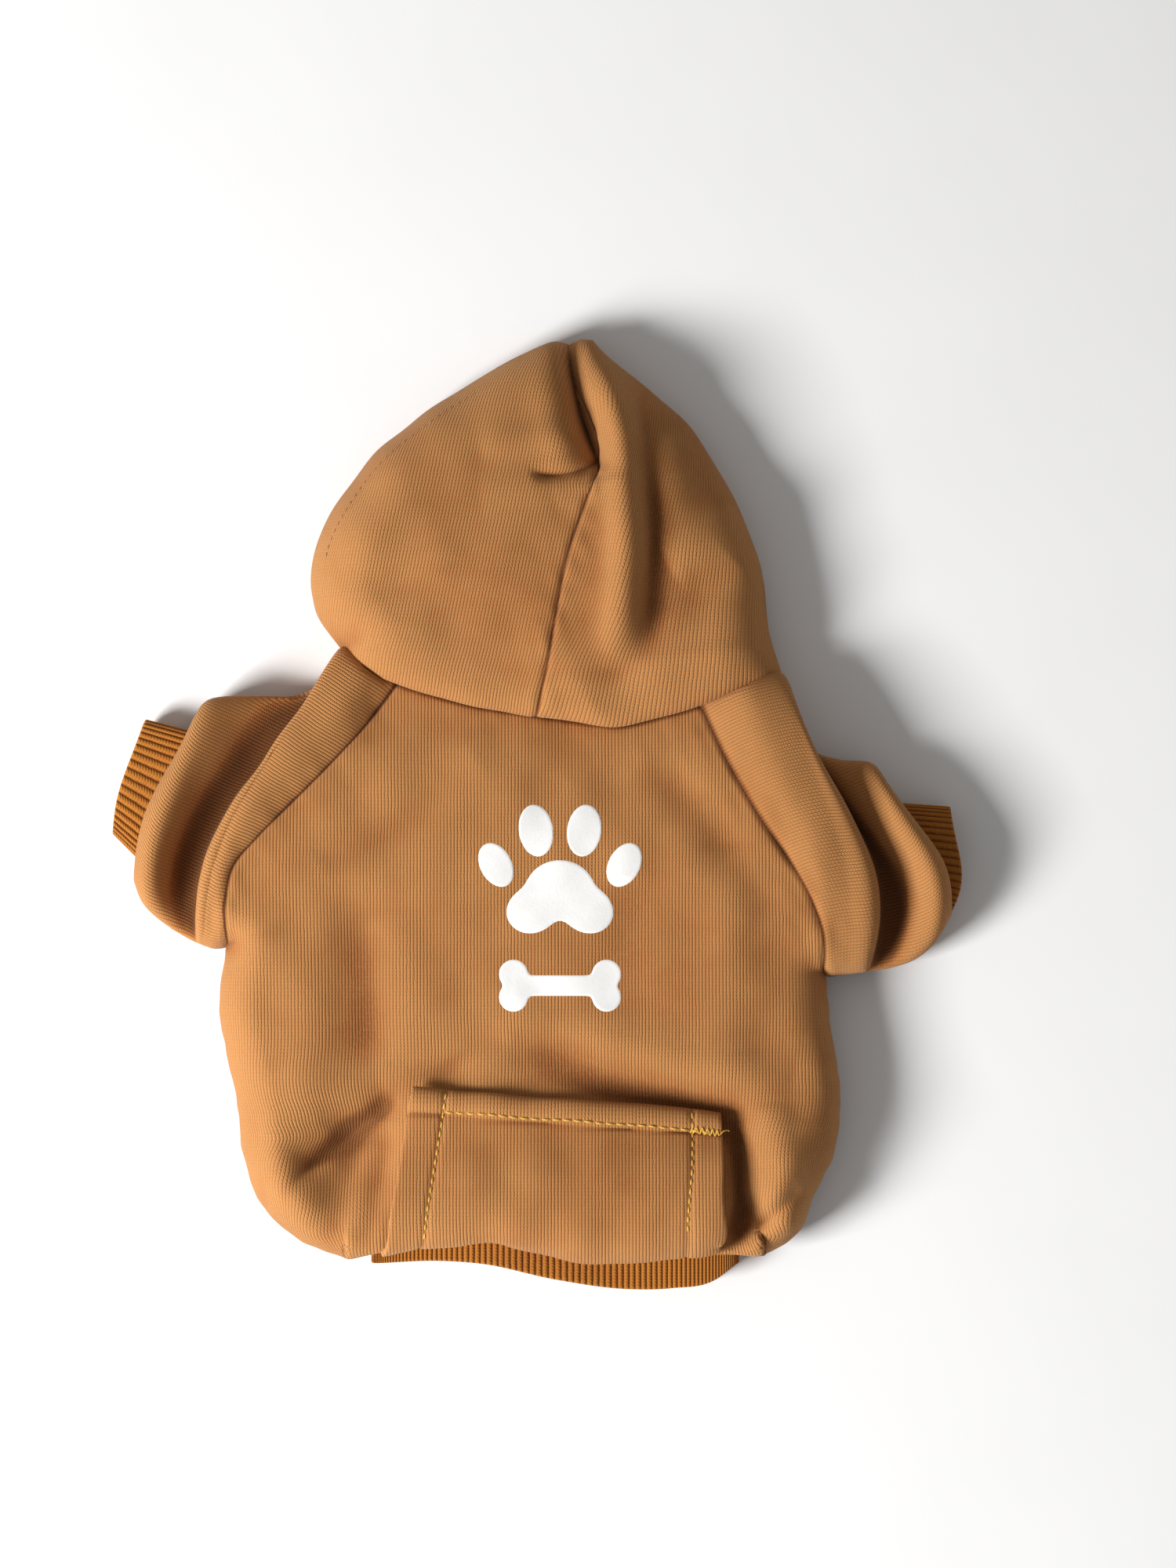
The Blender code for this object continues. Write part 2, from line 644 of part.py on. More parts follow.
def cuff(side, sleeve_rings):
    sign = -1 if side == "left" else 1
    which = 0 if side == "left" else 1
    head, tail = sleeve_rings[-1][0][:2], sleeve_rings[-1][RAGLAN_ROWS][:2]
    line = (tail - head) / np.linalg.norm(tail - head)
    out = np.array((-sign * line[1], sign * line[0]))
    head, tail = head + line * CUFF_INSET, tail - line * CUFF_INSET
    head, tail = head + out * NECK_GAP, tail + out * NECK_GAP
    row = {name: values[which] for name, values in CUFFS.items()}
    offset = np.array((sign * row["out"], row["along"])) * CUFF_LENGTH
    middle = (head + tail) / 2 + offset
    lean = np.array((sign * row["lean"], -np.sqrt(1 - row["lean"] ** 2)))
    half = lean * row["mouth"] * CUFF_MOUTH / 2
    columns = (1 - np.cos(np.linspace(0.0, np.pi, RIB_COLUMNS // 2 + 1))) / 2
    rings = []
    for step in np.linspace(0.0, 1.0, CUFF_ROWS + 1):
        bow = step * row["bow"] * CUFF_MOUTH
        start = blend(head, middle - half, step)
        end = blend(tail, middle + half, step)
        rings.append(rib_ring(start, end, columns, bow, CUFF_LOFT, side))
    return np.array(rings)


def rib_ring(head, tail, columns, bow, loft, side):
    floor = RIB_CLOTH / 2
    ends = (floor + loft / 2, floor + loft / 2)
    return ring(head, tail, columns, (bow, bow), ends, floor + loft, floor, side)


def waist_rib():
    """A flat tube from the waist seam to its mouth."""
    columns = close_to_edges(RIB_COLUMNS)
    corners = (waist_corner("left") + waist_corner("right")) / 2
    head = corners + np.array((-WAIST_RIB_WIDTH / 2, TUCK))
    tail = corners + np.array((WAIST_RIB_WIDTH / 2, TUCK))
    reach = WAIST_RIB_LENGTH * smooth(columns, WAIST_MOUTH["across"], WAIST_MOUTH["length"])
    reach = np.concatenate([reach, reach[::-1][1:]])
    flat = rib_ring(head, tail, columns, 0.0, WAIST_RIB_LOFT, "right")
    rings = []
    for step in np.linspace(0.0, 1.0, CUFF_ROWS + 1):
        moved = flat.copy()
        moved[:, 1] -= reach * step
        rings.append(moved)
    return np.array(rings)


def hood_half(side):
    """Rows from the neck to the top: seam to outline, and round it to the face opening."""
    edge = HOOD_LEFT if side == "left" else HOOD_RIGHT
    sign = -1 if side == "left" else 1
    shift = np.array((0.0, NECK_GAP))
    over = close_to_edges(HOOD_COLUMNS)
    under = np.linspace(0.0, 1.0, HOOD_UNDER_COLUMNS + 1) ** UNDER_CROWDING
    rows = np.linspace(0.0, 1.0, HOOD_ROWS + 1)
    size = np.array((HOOD_WIDTH, HOOD_LENGTH))
    last = len(NECK["across"]) - 1
    neck = neck_point(blend(NECK_ROWS["nape"], 0 if side == "left" else last, over), NECK) + shift
    throat_last = len(THROAT["across"]) - 1
    index = blend(0 if side == "left" else throat_last, THROAT_ROWS["middle"], under)
    throat = neck_point(index, THROAT) + shift
    throat[-1, 0] += sign * NECK_GAP
    edge_row = np.concatenate([[0.0], edge["row"]])
    edge_x = np.concatenate([[neck[-1, 0]], edge["across"] * size[0]])
    edge_y = np.concatenate([[neck[-1, 1]], edge["along"] * size[1]])

    def outline_point(at):
        return np.stack([smooth(at, edge_row, edge_x), smooth(at, edge_row, edge_y)], axis=-1)

    outer = outline_point(rows)
    seam_x = smooth(rows, HOOD_SEAM["row"], HOOD_SEAM["across"]) * size[0]
    seam_y = smooth(rows, HOOD_SEAM["row"], HOOD_SEAM["along"]) * size[1]
    seam = np.stack([seam_x, seam_y], axis=-1) + shift * (1 - rows)[:, None]
    reach = smooth(rows, FACE_EDGE["row"], FACE_EDGE["reach"])[:, None]
    face = outer + reach * (throat[-1] - outer)
    fade = np.clip(1 - rows / NECK_FADE, 0.0, 1.0)[:, None, None] ** 2
    top = blend(seam[:, None, :], outer[:, None, :], over[None, :, None])
    top = top + fade * (neck - blend(neck[0], neck[-1], over[:, None]))
    below = blend(outer[:, None, :], face[:, None, :], under[None, :, None])
    below = below + fade * (throat - blend(throat[0], throat[-1], under[:, None]))
    away, _ = nearest(top[..., 0], top[..., 1], outline_point(np.linspace(0.0, 1.0, OUTLINE_STEPS)))
    edge_height = blend(SHOULDER_HEIGHT, HOOD_EDGE_HEIGHT, np.clip(rows / NECK_FADE, 0, 1))[:, None]
    loft = HOOD_LOFT * smooth(rows, HOOD_PROFILE["row"], HOOD_PROFILE["height"])[:, None]
    folds = fold_height(
        top[..., 0], top[..., 1], HOOD_FOLDS, HOOD_WIDTH, HOOD_LENGTH, HOOD_FOLD
    )
    top_z = blend(edge_height, loft + folds, rounding(away / HOOD_ROLL))
    inward = np.linalg.norm(below - below[:, :1, :], axis=-1)
    below_z = blend(edge_height, CLOTH / 2, rounding(inward / HOOD_UNDER_ROLL))
    return np.concatenate([np.dstack([top, top_z]), np.dstack([below, below_z])[:, 1:]], axis=1)


def pocket_sheet():
    """The pocket, standing off the back between its sewn top and the waist."""
    up = np.linspace(0.0, 1.0, POCKET_ROWS + 1) ** POCKET_CROWDING
    across = np.linspace(0.0, 1.0, POCKET_COLUMNS + 1)
    rows = np.linspace(0.0, 1.0, len(POCKET_EDGE["left_across"]))
    edges = {name: smooth(up, rows, values) for name, values in POCKET_EDGE.items()}
    left = np.stack([edges["left_across"] * HALF_CHEST, -edges["left_along"] * BODY_LENGTH], -1)
    right = np.stack([edges["right_across"] * HALF_CHEST, -edges["right_along"] * BODY_LENGTH], -1)
    plan = blend(left[:, None, :], right[:, None, :], across[None, :, None])
    fold = waist_fold(np.linspace(0.0, 1.0, OUTLINE_STEPS))
    hem = np.interp(plan[0, :, 0], fold[:, 0], fold[:, 1]) + POCKET_HEM
    plan[..., 1] += (hem - plan[0, :, 1]) * (1 - up[:, None]) ** 2
    x, y = plan[..., 0], plan[..., 1]
    step = SEAM_GAP
    slope_x = (back_height(x + step, y) - back_height(x - step, y)) / (2 * step)
    slope_y = (back_height(x, y + step) - back_height(x, y - step)) / (2 * step)
    normal = np.dstack([-slope_x, -slope_y, np.ones_like(x)])
    normal /= np.linalg.norm(normal, axis=-1, keepdims=True)
    room = smooth(up, POCKET_STAND["up"], POCKET_STAND["room"])[:, None]
    swell = blend(POCKET_SIDE_ROOM, 1.0, np.sin(np.pi * across) ** POCKET_FULLNESS)[None, :]
    off = CLOTH + POCKET_GAP + POCKET_ROOM * room * swell
    return np.dstack([x, y, back_height(x, y)]) + normal * off[..., None]


def face_normals(grid):
    """A direction for each point of a grid, summed over the faces round it."""
    total = np.zeros_like(grid)
    a, b, c, d = grid[:-1, :-1], grid[:-1, 1:], grid[1:, 1:], grid[1:, :-1]
    cross = np.cross(c - a, d - b)
    total[:-1, :-1] += cross
    total[:-1, 1:] += cross
    total[1:, 1:] += cross
    total[1:, :-1] += cross
    return total


def shared_normals(grids):
    """Outward directions, the same for every panel that has the point."""
    sums = {}
    keys = {}
    for name, grid in grids.items():
        found = face_normals(grid)
        keys[name] = np.round(grid / MERGE).astype(int)
        for key, value in zip(keys[name].reshape(-1, 3), found.reshape(-1, 3)):
            sums[tuple(key)] = sums.get(tuple(key), 0) + value
    normals = {}
    for name, grid in grids.items():
        flat = np.array([sums[tuple(key)] for key in keys[name].reshape(-1, 3)])
        flat = flat / np.maximum(np.linalg.norm(flat, axis=1, keepdims=True), TINY)
        normals[name] = flat.reshape(grid.shape)
    return normals


def hold_back(grid, normals, edge, distance, ease, places):
    """Draw one edge of a panel back from its seam, and by more at the places that crease."""
    rim = {"left": np.s_[:, 0], "right": np.s_[:, -1], "bottom": np.s_[0], "top": np.s_[-1]}[edge]
    run = np.gradient(grid[rim], axis=0)
    inward = np.cross(run, normals[rim])
    if edge in ("right", "bottom"):
        inward = -inward
    inward /= np.maximum(np.linalg.norm(inward, axis=-1, keepdims=True), TINY)
    back = np.full((len(run), 1), distance)
    back[places] += ease
    moved = grid.copy()
    moved[rim] = grid[rim] + inward * back
    moved[..., 2] = np.maximum(moved[..., 2], grid[..., 2].min())
    return moved


def square_to(normals, rows, axis):
    """Turn the directions at an edge square to the seam that it butts against."""
    turned = normals.copy()
    part = turned[rows]
    part = part - (part @ axis)[..., None] * axis
    turned[rows] = part / np.linalg.norm(part, axis=-1, keepdims=True)
    return turned


def fabric(name, color):
    material = bpy.data.materials.new(name)
    material.use_nodes = True
    shader = material.node_tree.nodes["Principled BSDF"]
    shader.inputs["Base Color"].default_value = (*color, 1.0)
    shader.inputs["Roughness"].default_value = CLOTH_ROUGHNESS
    shader.inputs["Metallic"].default_value = 0.0
    return material


def sew(name, grid, normals, thickness, color, garment):
    """One closed solid of cloth: both faces of a grid, and the rims round its edges."""
    mesh = bmesh.new()
    places = {}
    corners = np.empty(grid.shape[:2], dtype=object)
    half = thickness / 2
    for index in np.ndindex(*grid.shape[:2]):
        key = tuple(np.round(grid[index] / MERGE).astype(int))
        if key not in places:
            middle, out = grid[index], normals[index] * half
            places[key] = (mesh.verts.new(middle + out), mesh.verts.new(middle - out))
        corners[index] = places[key]
    edges = {}
    for row in range(grid.shape[0] - 1):
        for column in range(grid.shape[1] - 1):
            loop = [
                corners[row, column],
                corners[row, column + 1],
                corners[row + 1, column + 1],
                corners[row + 1, column],
            ]
            loop = [pair for at, pair in enumerate(loop) if pair is not loop[at - 1]]
            if len(loop) < 3:
                continue
            mesh.faces.new([pair[0] for pair in loop])
            mesh.faces.new([pair[1] for pair in reversed(loop)])
            for start, end in zip(loop, loop[1:] + loop[:1]):
                opposite = (id(end), id(start))
                if opposite in edges:
                    del edges[opposite]
                else:
                    edges[(id(start), id(end))] = (start, end)
    for start, end in edges.values():
        mesh.faces.new([end[0], start[0], start[1], end[1]])
    if mesh.calc_volume(signed=True) < 0:
        bmesh.ops.reverse_faces(mesh, faces=mesh.faces)
    data = bpy.data.meshes.new(name)
    mesh.to_mesh(data)
    mesh.free()
    data.shade_smooth()
    data.set_sharp_from_angle(angle=np.radians(SHARP_ANGLE))
    data.materials.append(fabric(name + "_cloth", color))
    panel = bpy.data.objects.new(name, data)
    bpy.context.scene.collection.objects.link(panel)
    panel.parent = garment
    return panel


def to_origin(panels, garment):
    """Move the garment so that the origin is under the middle of it."""
    points = []
    for panel in panels:
        coordinates = np.empty(3 * len(panel.data.vertices))
        panel.data.vertices.foreach_get("co", coordinates)
        points.append(coordinates.reshape(-1, 3))
    points = np.concatenate(points)
    low, high = points.min(axis=0), points.max(axis=0)
    garment.location = (-(low[0] + high[0]) / 2, -(low[1] + high[1]) / 2, -low[2])


def loop_axis(ring_points):
    """Level direction square to a loop's line from head to tail."""
    line = ring_points[len(ring_points) // 2] - ring_points[0]
    return np.array((-line[1], line[0], 0.0)) / np.hypot(line[0], line[1])


def make_hoodie():
    for old in list(bpy.data.objects):
        bpy.data.objects.remove(old, do_unlink=True)
    garment = bpy.data.objects.new("hoodie", None)
    bpy.context.scene.collection.objects.link(garment)

    left_rings, right_rings = sleeve("left"), sleeve("right")
    left_cuff, right_cuff = cuff("left", left_rings), cuff("right", right_rings)
    panels = {
        "back_panel": back_panel(),
        "belly_panel": belly_panel()[:, ::-1],
        "left_sleeve": left_rings[::-1],
        "right_sleeve": right_rings,
        "hood_left": hood_half("left")[:, ::-1],
        "hood_right": hood_half("right"),
        "left_cuff": left_cuff[::-1],
        "right_cuff": right_cuff,
        "waist_rib": waist_rib()[::-1],
        "pocket": pocket_sheet(),
    }
    pit = TUCK_ROWS + SIDE_ROWS
    at_pit = np.s_[pit - 1 : pit + 3]
    at_belly_pit = np.s_[SIDE_ROWS - 1 : SIDE_ROWS + 3]
    at_tail = np.s_[RAGLAN_ROWS - 2 : RAGLAN_ROWS + 3]
    at_corner = np.s_[[0, -1]]
    in_crease = np.s_[int(HOOD_ROWS * CREASE_FROM) :]
    seams = {
        "back_panel": (("left", at_pit), ("right", at_pit)),
        "belly_panel": (("left", at_belly_pit), ("right", at_belly_pit), ("bottom", at_corner)),
        "left_sleeve": (("top", at_tail),),
        "right_sleeve": (("bottom", at_tail),),
        "hood_left": (("right", in_crease), ("top", np.s_[:])),
        "hood_right": (("left", in_crease), ("top", np.s_[:])),
    }
    normals = shared_normals(panels)
    along_y = np.array((0.0, 1.0, 0.0))
    neck_ends = [0, -1]
    butts = (
        ("back_panel", np.s_[-1], along_y),
        ("belly_panel", np.s_[-1], along_y),
        ("belly_panel", np.s_[0, 1:-1], along_y),
        ("left_sleeve", np.s_[-1 - OPEN_RINGS :, neck_ends], along_y),
        ("right_sleeve", np.s_[: OPEN_RINGS + 1, neck_ends], along_y),
        ("hood_left", np.s_[0], along_y),
        ("hood_right", np.s_[0], along_y),
        ("left_sleeve", np.s_[0], loop_axis(left_rings[-1])),
        ("right_sleeve", np.s_[-1], loop_axis(right_rings[-1])),
        ("left_cuff", np.s_[-1], loop_axis(left_rings[-1])),
        ("right_cuff", np.s_[0], loop_axis(right_rings[-1])),
    )
    for name, rows, axis in butts:
        normals[name] = square_to(normals[name], rows, axis)
    ribbed = ("left_cuff", "right_cuff", "waist_rib")
    sewn = []
    for name, grid in panels.items():
        thickness = RIB_CLOTH if name in ribbed else CLOTH
        color = RUST if name in ribbed else CARAMEL
        for edge, places in seams.get(name, ()):
            grid = hold_back(grid, normals[name], edge, SEAM_GAP / 2, CREASE_EASE, places)
        sewn.append(sew(name, grid, normals[name], thickness, color, garment))
    to_origin(sewn, garment)


make_hoodie()
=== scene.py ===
# %% [markdown]
# # A small dog's hoodie, lying flat
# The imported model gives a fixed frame: ten plain solids of cloth at their true size, lying
# where the real panels lie. This lesson dresses them. Each solid is replaced by a denser piece
# that follows the same seams, with the finer folds, ribs, stitches and knit added.

import json

import bpy
import numpy as np
from mathutils.bvhtree import BVHTree
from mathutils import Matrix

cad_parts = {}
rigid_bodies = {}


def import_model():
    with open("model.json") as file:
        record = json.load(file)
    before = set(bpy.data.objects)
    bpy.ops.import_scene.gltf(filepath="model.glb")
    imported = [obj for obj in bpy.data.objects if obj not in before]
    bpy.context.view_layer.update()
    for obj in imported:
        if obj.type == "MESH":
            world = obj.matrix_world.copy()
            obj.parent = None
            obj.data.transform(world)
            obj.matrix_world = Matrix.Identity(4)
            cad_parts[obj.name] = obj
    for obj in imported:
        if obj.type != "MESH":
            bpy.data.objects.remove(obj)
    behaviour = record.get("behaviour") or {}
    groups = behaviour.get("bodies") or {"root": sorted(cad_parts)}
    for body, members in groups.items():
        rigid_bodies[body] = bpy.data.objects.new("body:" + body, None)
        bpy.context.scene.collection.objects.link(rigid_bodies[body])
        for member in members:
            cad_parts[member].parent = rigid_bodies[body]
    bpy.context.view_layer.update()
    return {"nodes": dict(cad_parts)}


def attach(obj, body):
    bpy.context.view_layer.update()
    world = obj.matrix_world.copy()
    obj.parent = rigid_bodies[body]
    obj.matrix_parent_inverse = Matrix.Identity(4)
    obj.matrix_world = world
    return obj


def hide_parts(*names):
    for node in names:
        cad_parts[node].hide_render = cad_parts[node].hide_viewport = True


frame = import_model()
print("nodes:", ", ".join(sorted(frame["nodes"])))

# %% [markdown]
# # Sizes of the garment
# A garment is easiest to draw from the sizes that a pattern cutter would write down. All
# lengths are in metres, and every curve further down is a share of one of them.

# %% Sizes of the cloth and the body
CLOTH = 0.0020  # fleece-backed knit
RIB_CLOTH = 0.0018  # ribbed knit of the cuffs and the waist
SEAM_GAP = 0.00016  # between two panels that a seam joins
NECK_GAP = 0.0005  # between the hood's edge and the neckline, which meet at a slant

# Body, laid flat
CHEST_WIDTH = 0.1805
BODY_LENGTH = 0.1566  # nape to the fold above the waist
BODY_LOFT = 0.0215  # height of the back
SIDE_HEIGHT = 0.0072  # height of the side seams
SIDE_ROLL = 0.0115  # how wide the back rounds over at its sides
BELLY_ROLL = 0.0065  # how wide the belly rounds up at its sides
WAIST_ROLL = 0.0080  # how wide the back rounds over above the waist
WAIST_FOLD_HEIGHT = 0.0170  # height of the outermost point of that fold
WAIST_WAVE = 0.0033  # how far that fold wanders up and down
TUCK = 0.0120  # how far the waist seam lies inside the fold
TUCK_WIDTH = 0.1130
BACK_FOLD = 0.0040  # height that the shares of the back's folds are taken of

# Waist rib
WAIST_RIB_WIDTH = 0.1060
WAIST_RIB_LENGTH = 0.0215
WAIST_RIB_LOFT = 0.0098

print("chest laid flat:", CHEST_WIDTH, "m")

# %% Sizes of the neck, the hood, the sleeves and the pocket
NECK_WIDTH = 0.1300
NECK_RISE = 0.0200  # how far the neckline climbs from the nape to the left shoulder
SHOULDER_HEIGHT = 0.0090  # of the fold where the neckline turns under

# Hood
HOOD_WIDTH = 0.1340
HOOD_LENGTH = 0.1121  # nape to the top of the face opening
HOOD_LOFT = 0.0270
HOOD_EDGE_HEIGHT = 0.0062
HOOD_ROLL = 0.0170  # how wide the hood rounds over at its outline
HOOD_UNDER_ROLL = 0.0060
HOOD_FOLD = 0.0080  # height that the shares of the hood's folds are taken of

# Sleeves and cuffs
SLEEVE_REACH = 0.0450  # shoulder to the sleeve's end
SLEEVE_SPAN = 0.0600  # width of the sleeve, laid flat
SLEEVE_LOFT = 0.0230
CUFF_INSET = 0.0034  # how much further in each end of the cuff lies than the sleeve's
CUFF_TUCK = 0.0035  # how far it runs in under the sleeve
CUFF_MOUTH = 0.0335
CUFF_LENGTH = 0.0178  # that the shares of the cuffs are taken of
CUFF_LOFT = 0.0094

# Pocket
POCKET_ROOM = 0.0056  # how far it stands off the back in its middle
POCKET_GAP = 0.0004  # where its top is sewn down

# Where the nape lies in the frame
NAPE_PLACE = np.array((0.0000268, 0.0280313, 0.0))

print("hood:", HOOD_WIDTH, "x", HOOD_LENGTH, "m")

# %% Rows and columns of each panel, about one to a millimetre of cloth
BODY_COLUMNS = 176
BELLY_COLUMNS = 80
TUCK_ROWS = 10
SIDE_ROWS = 92
RAGLAN_ROWS = 66
RING_STEPS = 7
HOOD_ROWS = 112
HOOD_COLUMNS = 84
HOOD_UNDER_COLUMNS = 26
POCKET_COLUMNS = 120
POCKET_ROWS = 64
OUTLINE_STEPS = 700
BLOCK = 2000  # places compared with an outline at a time
TINY = 1e-12  # keeps a length from being divided by nothing
print("back panel:", BODY_COLUMNS, "columns")

# %% How the curves are drawn
MERGE = 0.000002  # points closer than this are one
EDGE_CROWDING = 0.90  # of columns towards the edges of a panel that rounds over there
HOOD_CROWDING = 1.12  # of the hood's rows towards the neck
RAGLAN_CROWDING = 0.5  # of rows towards the armpit
RING_FLATNESS = 0.55  # of a sleeve's loop: 1 is an ellipse, less is flatter on top
BOW_LEAN = 1.6  # how far a ring's bow leans towards its tail
UNDER_CROWDING = 1.7  # of the hood's columns under it, towards its outline
SIDE_CROWDING = 0.6  # of rows towards the armpit
NECK_FADE = 0.22  # share of the hood that the neckline's curve reaches into
THROAT_TURN = 0.25  # height of the neckline just under the shoulder, of SHOULDER_HEIGHT
POCKET_HEM = 0.0008  # how far the pocket's lower edge stays inside the waist fold
POCKET_SIDE_ROOM = 0.85  # share of its room that the pocket has at its open sides
POCKET_FULLNESS = 0.7  # of its room from side to side: less is fuller
CORNER_TURN = 2.0  # how much faster the tucked cloth rises at its corners than the sides
print("points merge within", MERGE, "m")

# %% [markdown]
# # Tables of seams
# Seams could be drawn by hand as Bezier curves. Tables of shares are used here instead,
# because two panels that meet can then read the same row and can't drift apart.

# %% Neckline, side seams and raglan seams
def table(names, *rows):
    """Columns by name, of rows written one section or fold to a line."""
    return dict(zip(names.split(), np.array(rows, dtype=float).T))


# Neckline on the back, left shoulder to right: shares of NECK_WIDTH and NECK_RISE
NECK = table(
    "across rise",
    (-0.432, 0.990),  # left shoulder's fold
    (-0.382, 0.680),
    (-0.311, 0.470),  # top of the left raglan seam
    (-0.152, 0.160),
    (0.000, 0.000),  # nape
    (0.131, -0.125),
    (0.200, -0.150),
    (0.290, -0.010),
    (0.371, 0.150),  # top of the right raglan seam
    (0.468, 0.425),
    (0.546, 0.610),  # right shoulder's fold
)
# Neckline under the throat, in the same shares
THROAT = table(
    "across rise",
    (-0.432, 0.990),
    (-0.380, 0.805),
    (-0.308, 0.555),  # top of the belly's left raglan seam
    (0.000, 0.175),  # where the face opening's two ends meet
    (0.354, 0.255),  # top of the belly's right raglan seam
    (0.487, 0.505),
    (0.546, 0.610),
)
# Rows of those two tables, counted from 0
NECK_ROWS = {"left": 2, "nape": 4, "right": 8}
NECK_ENDS = {"left": 0, "right": 10}
THROAT_ROWS = {"left": 2, "middle": 3, "right": 4}
THROAT_ENDS = {"left": 0, "right": 6}
SIGN = {"left": -1, "right": 1}  # of the outward direction on each side

# Side seams, armpit to the corner of the waist: across in half chest widths, along in body
# lengths from the nape
SIDES = table(
    "left_across left_along right_across right_along",
    (-1.008, 0.427, 0.942, 0.480),  # armpits
    (-1.029, 0.545, 0.957, 0.574),
    (-1.003, 0.633, 0.980, 0.660),
    (-0.964, 0.721, 0.986, 0.735),
    (-0.950, 0.815, 0.967, 0.815),
    (-0.903, 0.897, 0.905, 0.890),
    (-0.808, 0.958, 0.855, 0.957),
    (-0.615, 1.007, 0.742, 1.000),  # corners above the waist
)
# Raglan seams on the back, from the neck: along the straight line to the armpit, and out from
# it, in shares of its length
RAGLAN = table(
    "left_along left_out right_along right_out",
    (0.000, 0.000, 0.000, 0.000),
    (0.175, 0.013, 0.231, 0.003),
    (0.349, 0.041, 0.419, 0.021),
    (0.523, 0.077, 0.598, 0.050),
    (0.663, 0.106, 0.751, 0.064),
    (0.778, 0.118, 0.850, 0.055),
    (0.878, 0.080, 0.925, 0.032),
    (1.000, 0.000, 1.000, 0.000),
)
print("rows: neckline", len(NECK["across"]), "and raglan seams", len(RAGLAN["left_along"]))

# %% The back, its fold above the waist and its dents
# Height of the back along its length, as shares of BODY_LENGTH and BODY_LOFT
BACK_PROFILE = table(
    "along height",
    (-0.130, 0.780),
    (0.000, 0.790),
    (0.080, 0.905),
    (0.200, 0.985),
    (0.500, 1.030),
    (0.800, 1.010),
    (1.050, 1.000),
)
# How the fold above the waist wanders, corner to corner, in shares of WAIST_WAVE
WAIST_FOLD = table(
    "across wave",
    (0.00, 0.00),
    (0.10, 0.90),
    (0.25, 1.70),
    (0.34, 2.02),
    (0.48, 0.72),
    (0.58, -0.06),
    (0.75, 0.13),
    (0.90, 0.33),
    (1.00, 0.00),
)
# Length of the waist rib across its width, in shares of WAIST_RIB_LENGTH
WAIST_MOUTH = table(
    "across length",
    (0.00, 0.66),
    (0.18, 0.62),
    (0.30, 0.66),
    (0.50, 0.87),
    (0.70, 1.00),
    (0.82, 0.99),
    (0.94, 0.88),
    (1.00, 0.66),
)
# Folds and dents of the back: ends in half chest widths and body lengths from the nape,
# reach to each side in half chest widths, height in shares of BACK_FOLD
BACK_FOLDS = table(
    "x0 y0 x1 y1 reach height",
    (0.05, 0.605, 0.60, 0.745, 0.115, -0.70),  # slanting dip above the pocket
    (-0.52, 0.735, -0.74, 0.815, 0.075, -0.75),  # crease from the pocket's top left corner
    (-0.59, 0.790, -0.64, 0.930, 0.085, -1.00),  # hollow left of the pocket
    (-0.80, 0.860, -0.83, 0.780, 0.110, 0.40),  # swell beside it
    (0.80, 0.900, 0.81, 0.830, 0.080, 0.55),  # swell right of the pocket
    (0.60, 0.975, 0.70, 0.925, 0.060, -0.90),  # crease at the pocket's lower right corner
    (-0.52, 0.380, -0.54, 0.580, 0.120, -0.35),  # soft band down the left
    (0.74, 0.450, 0.78, 0.640, 0.110, -0.40),  # soft band down the right
    (0.10, 0.060, 0.32, 0.100, 0.140, -0.35),  # dip under the hood
)
print("main folds of the back:", len(BACK_FOLDS["x0"]))

# %% Sleeves and cuffs
# Sleeves, a row for each ring from the raglan seam out. Head is the end towards the neck and
# tail the end at the armpit: out and back from the shoulder's fold, and from the armpit, in
# shares of SLEEVE_REACH and SLEEVE_SPAN. Bow is how far the ring's upper side bends outwards,
# crest, head_height and tail_height are shares of SLEEVE_LOFT.
SLEEVE_COLUMNS = (
    "head_out head_back tail_out tail_back bow under_bow crest head_height tail_height"
)
LEFT_SLEEVE = table(
    SLEEVE_COLUMNS,
    (0.000, 0.000, 0.085, 0.000, 0.160, 0.040, 1.06, 0.74, 0.33),  # crest of the strip
    (0.000, 0.000, 0.144, -0.015, 0.120, 0.040, 1.04, 0.39, 0.33),
    (0.140, 0.157, 0.175, -0.025, 0.130, 0.040, 0.98, 0.39, 0.33),  # ridge
    (0.166, 0.190, 0.196, -0.030, 0.136, 0.040, 0.42, 0.36, 0.31),
    (0.330, 0.239, 0.272, -0.054, 0.134, 0.030, 0.33, 0.34, 0.30),  # valley
    (0.540, 0.242, 0.385, -0.105, 0.104, 0.010, 0.50, 0.36, 0.31),
    (0.850, 0.252, 0.522, -0.205, 0.052, -0.010, 0.90, 0.36, 0.31),  # crest of the puff
    (0.945, 0.322, 0.588, -0.300, 0.060, -0.020, 0.73, 0.33, 0.30),  # the puff's end
    (0.958, 0.340, 0.596, -0.322, 0.025, -0.010, 0.60, 0.31, 0.30),
    (0.970, 0.351, 0.602, -0.338, -0.020, 0.000, 0.56, 0.30, 0.29),  # sewn to the cuff
)
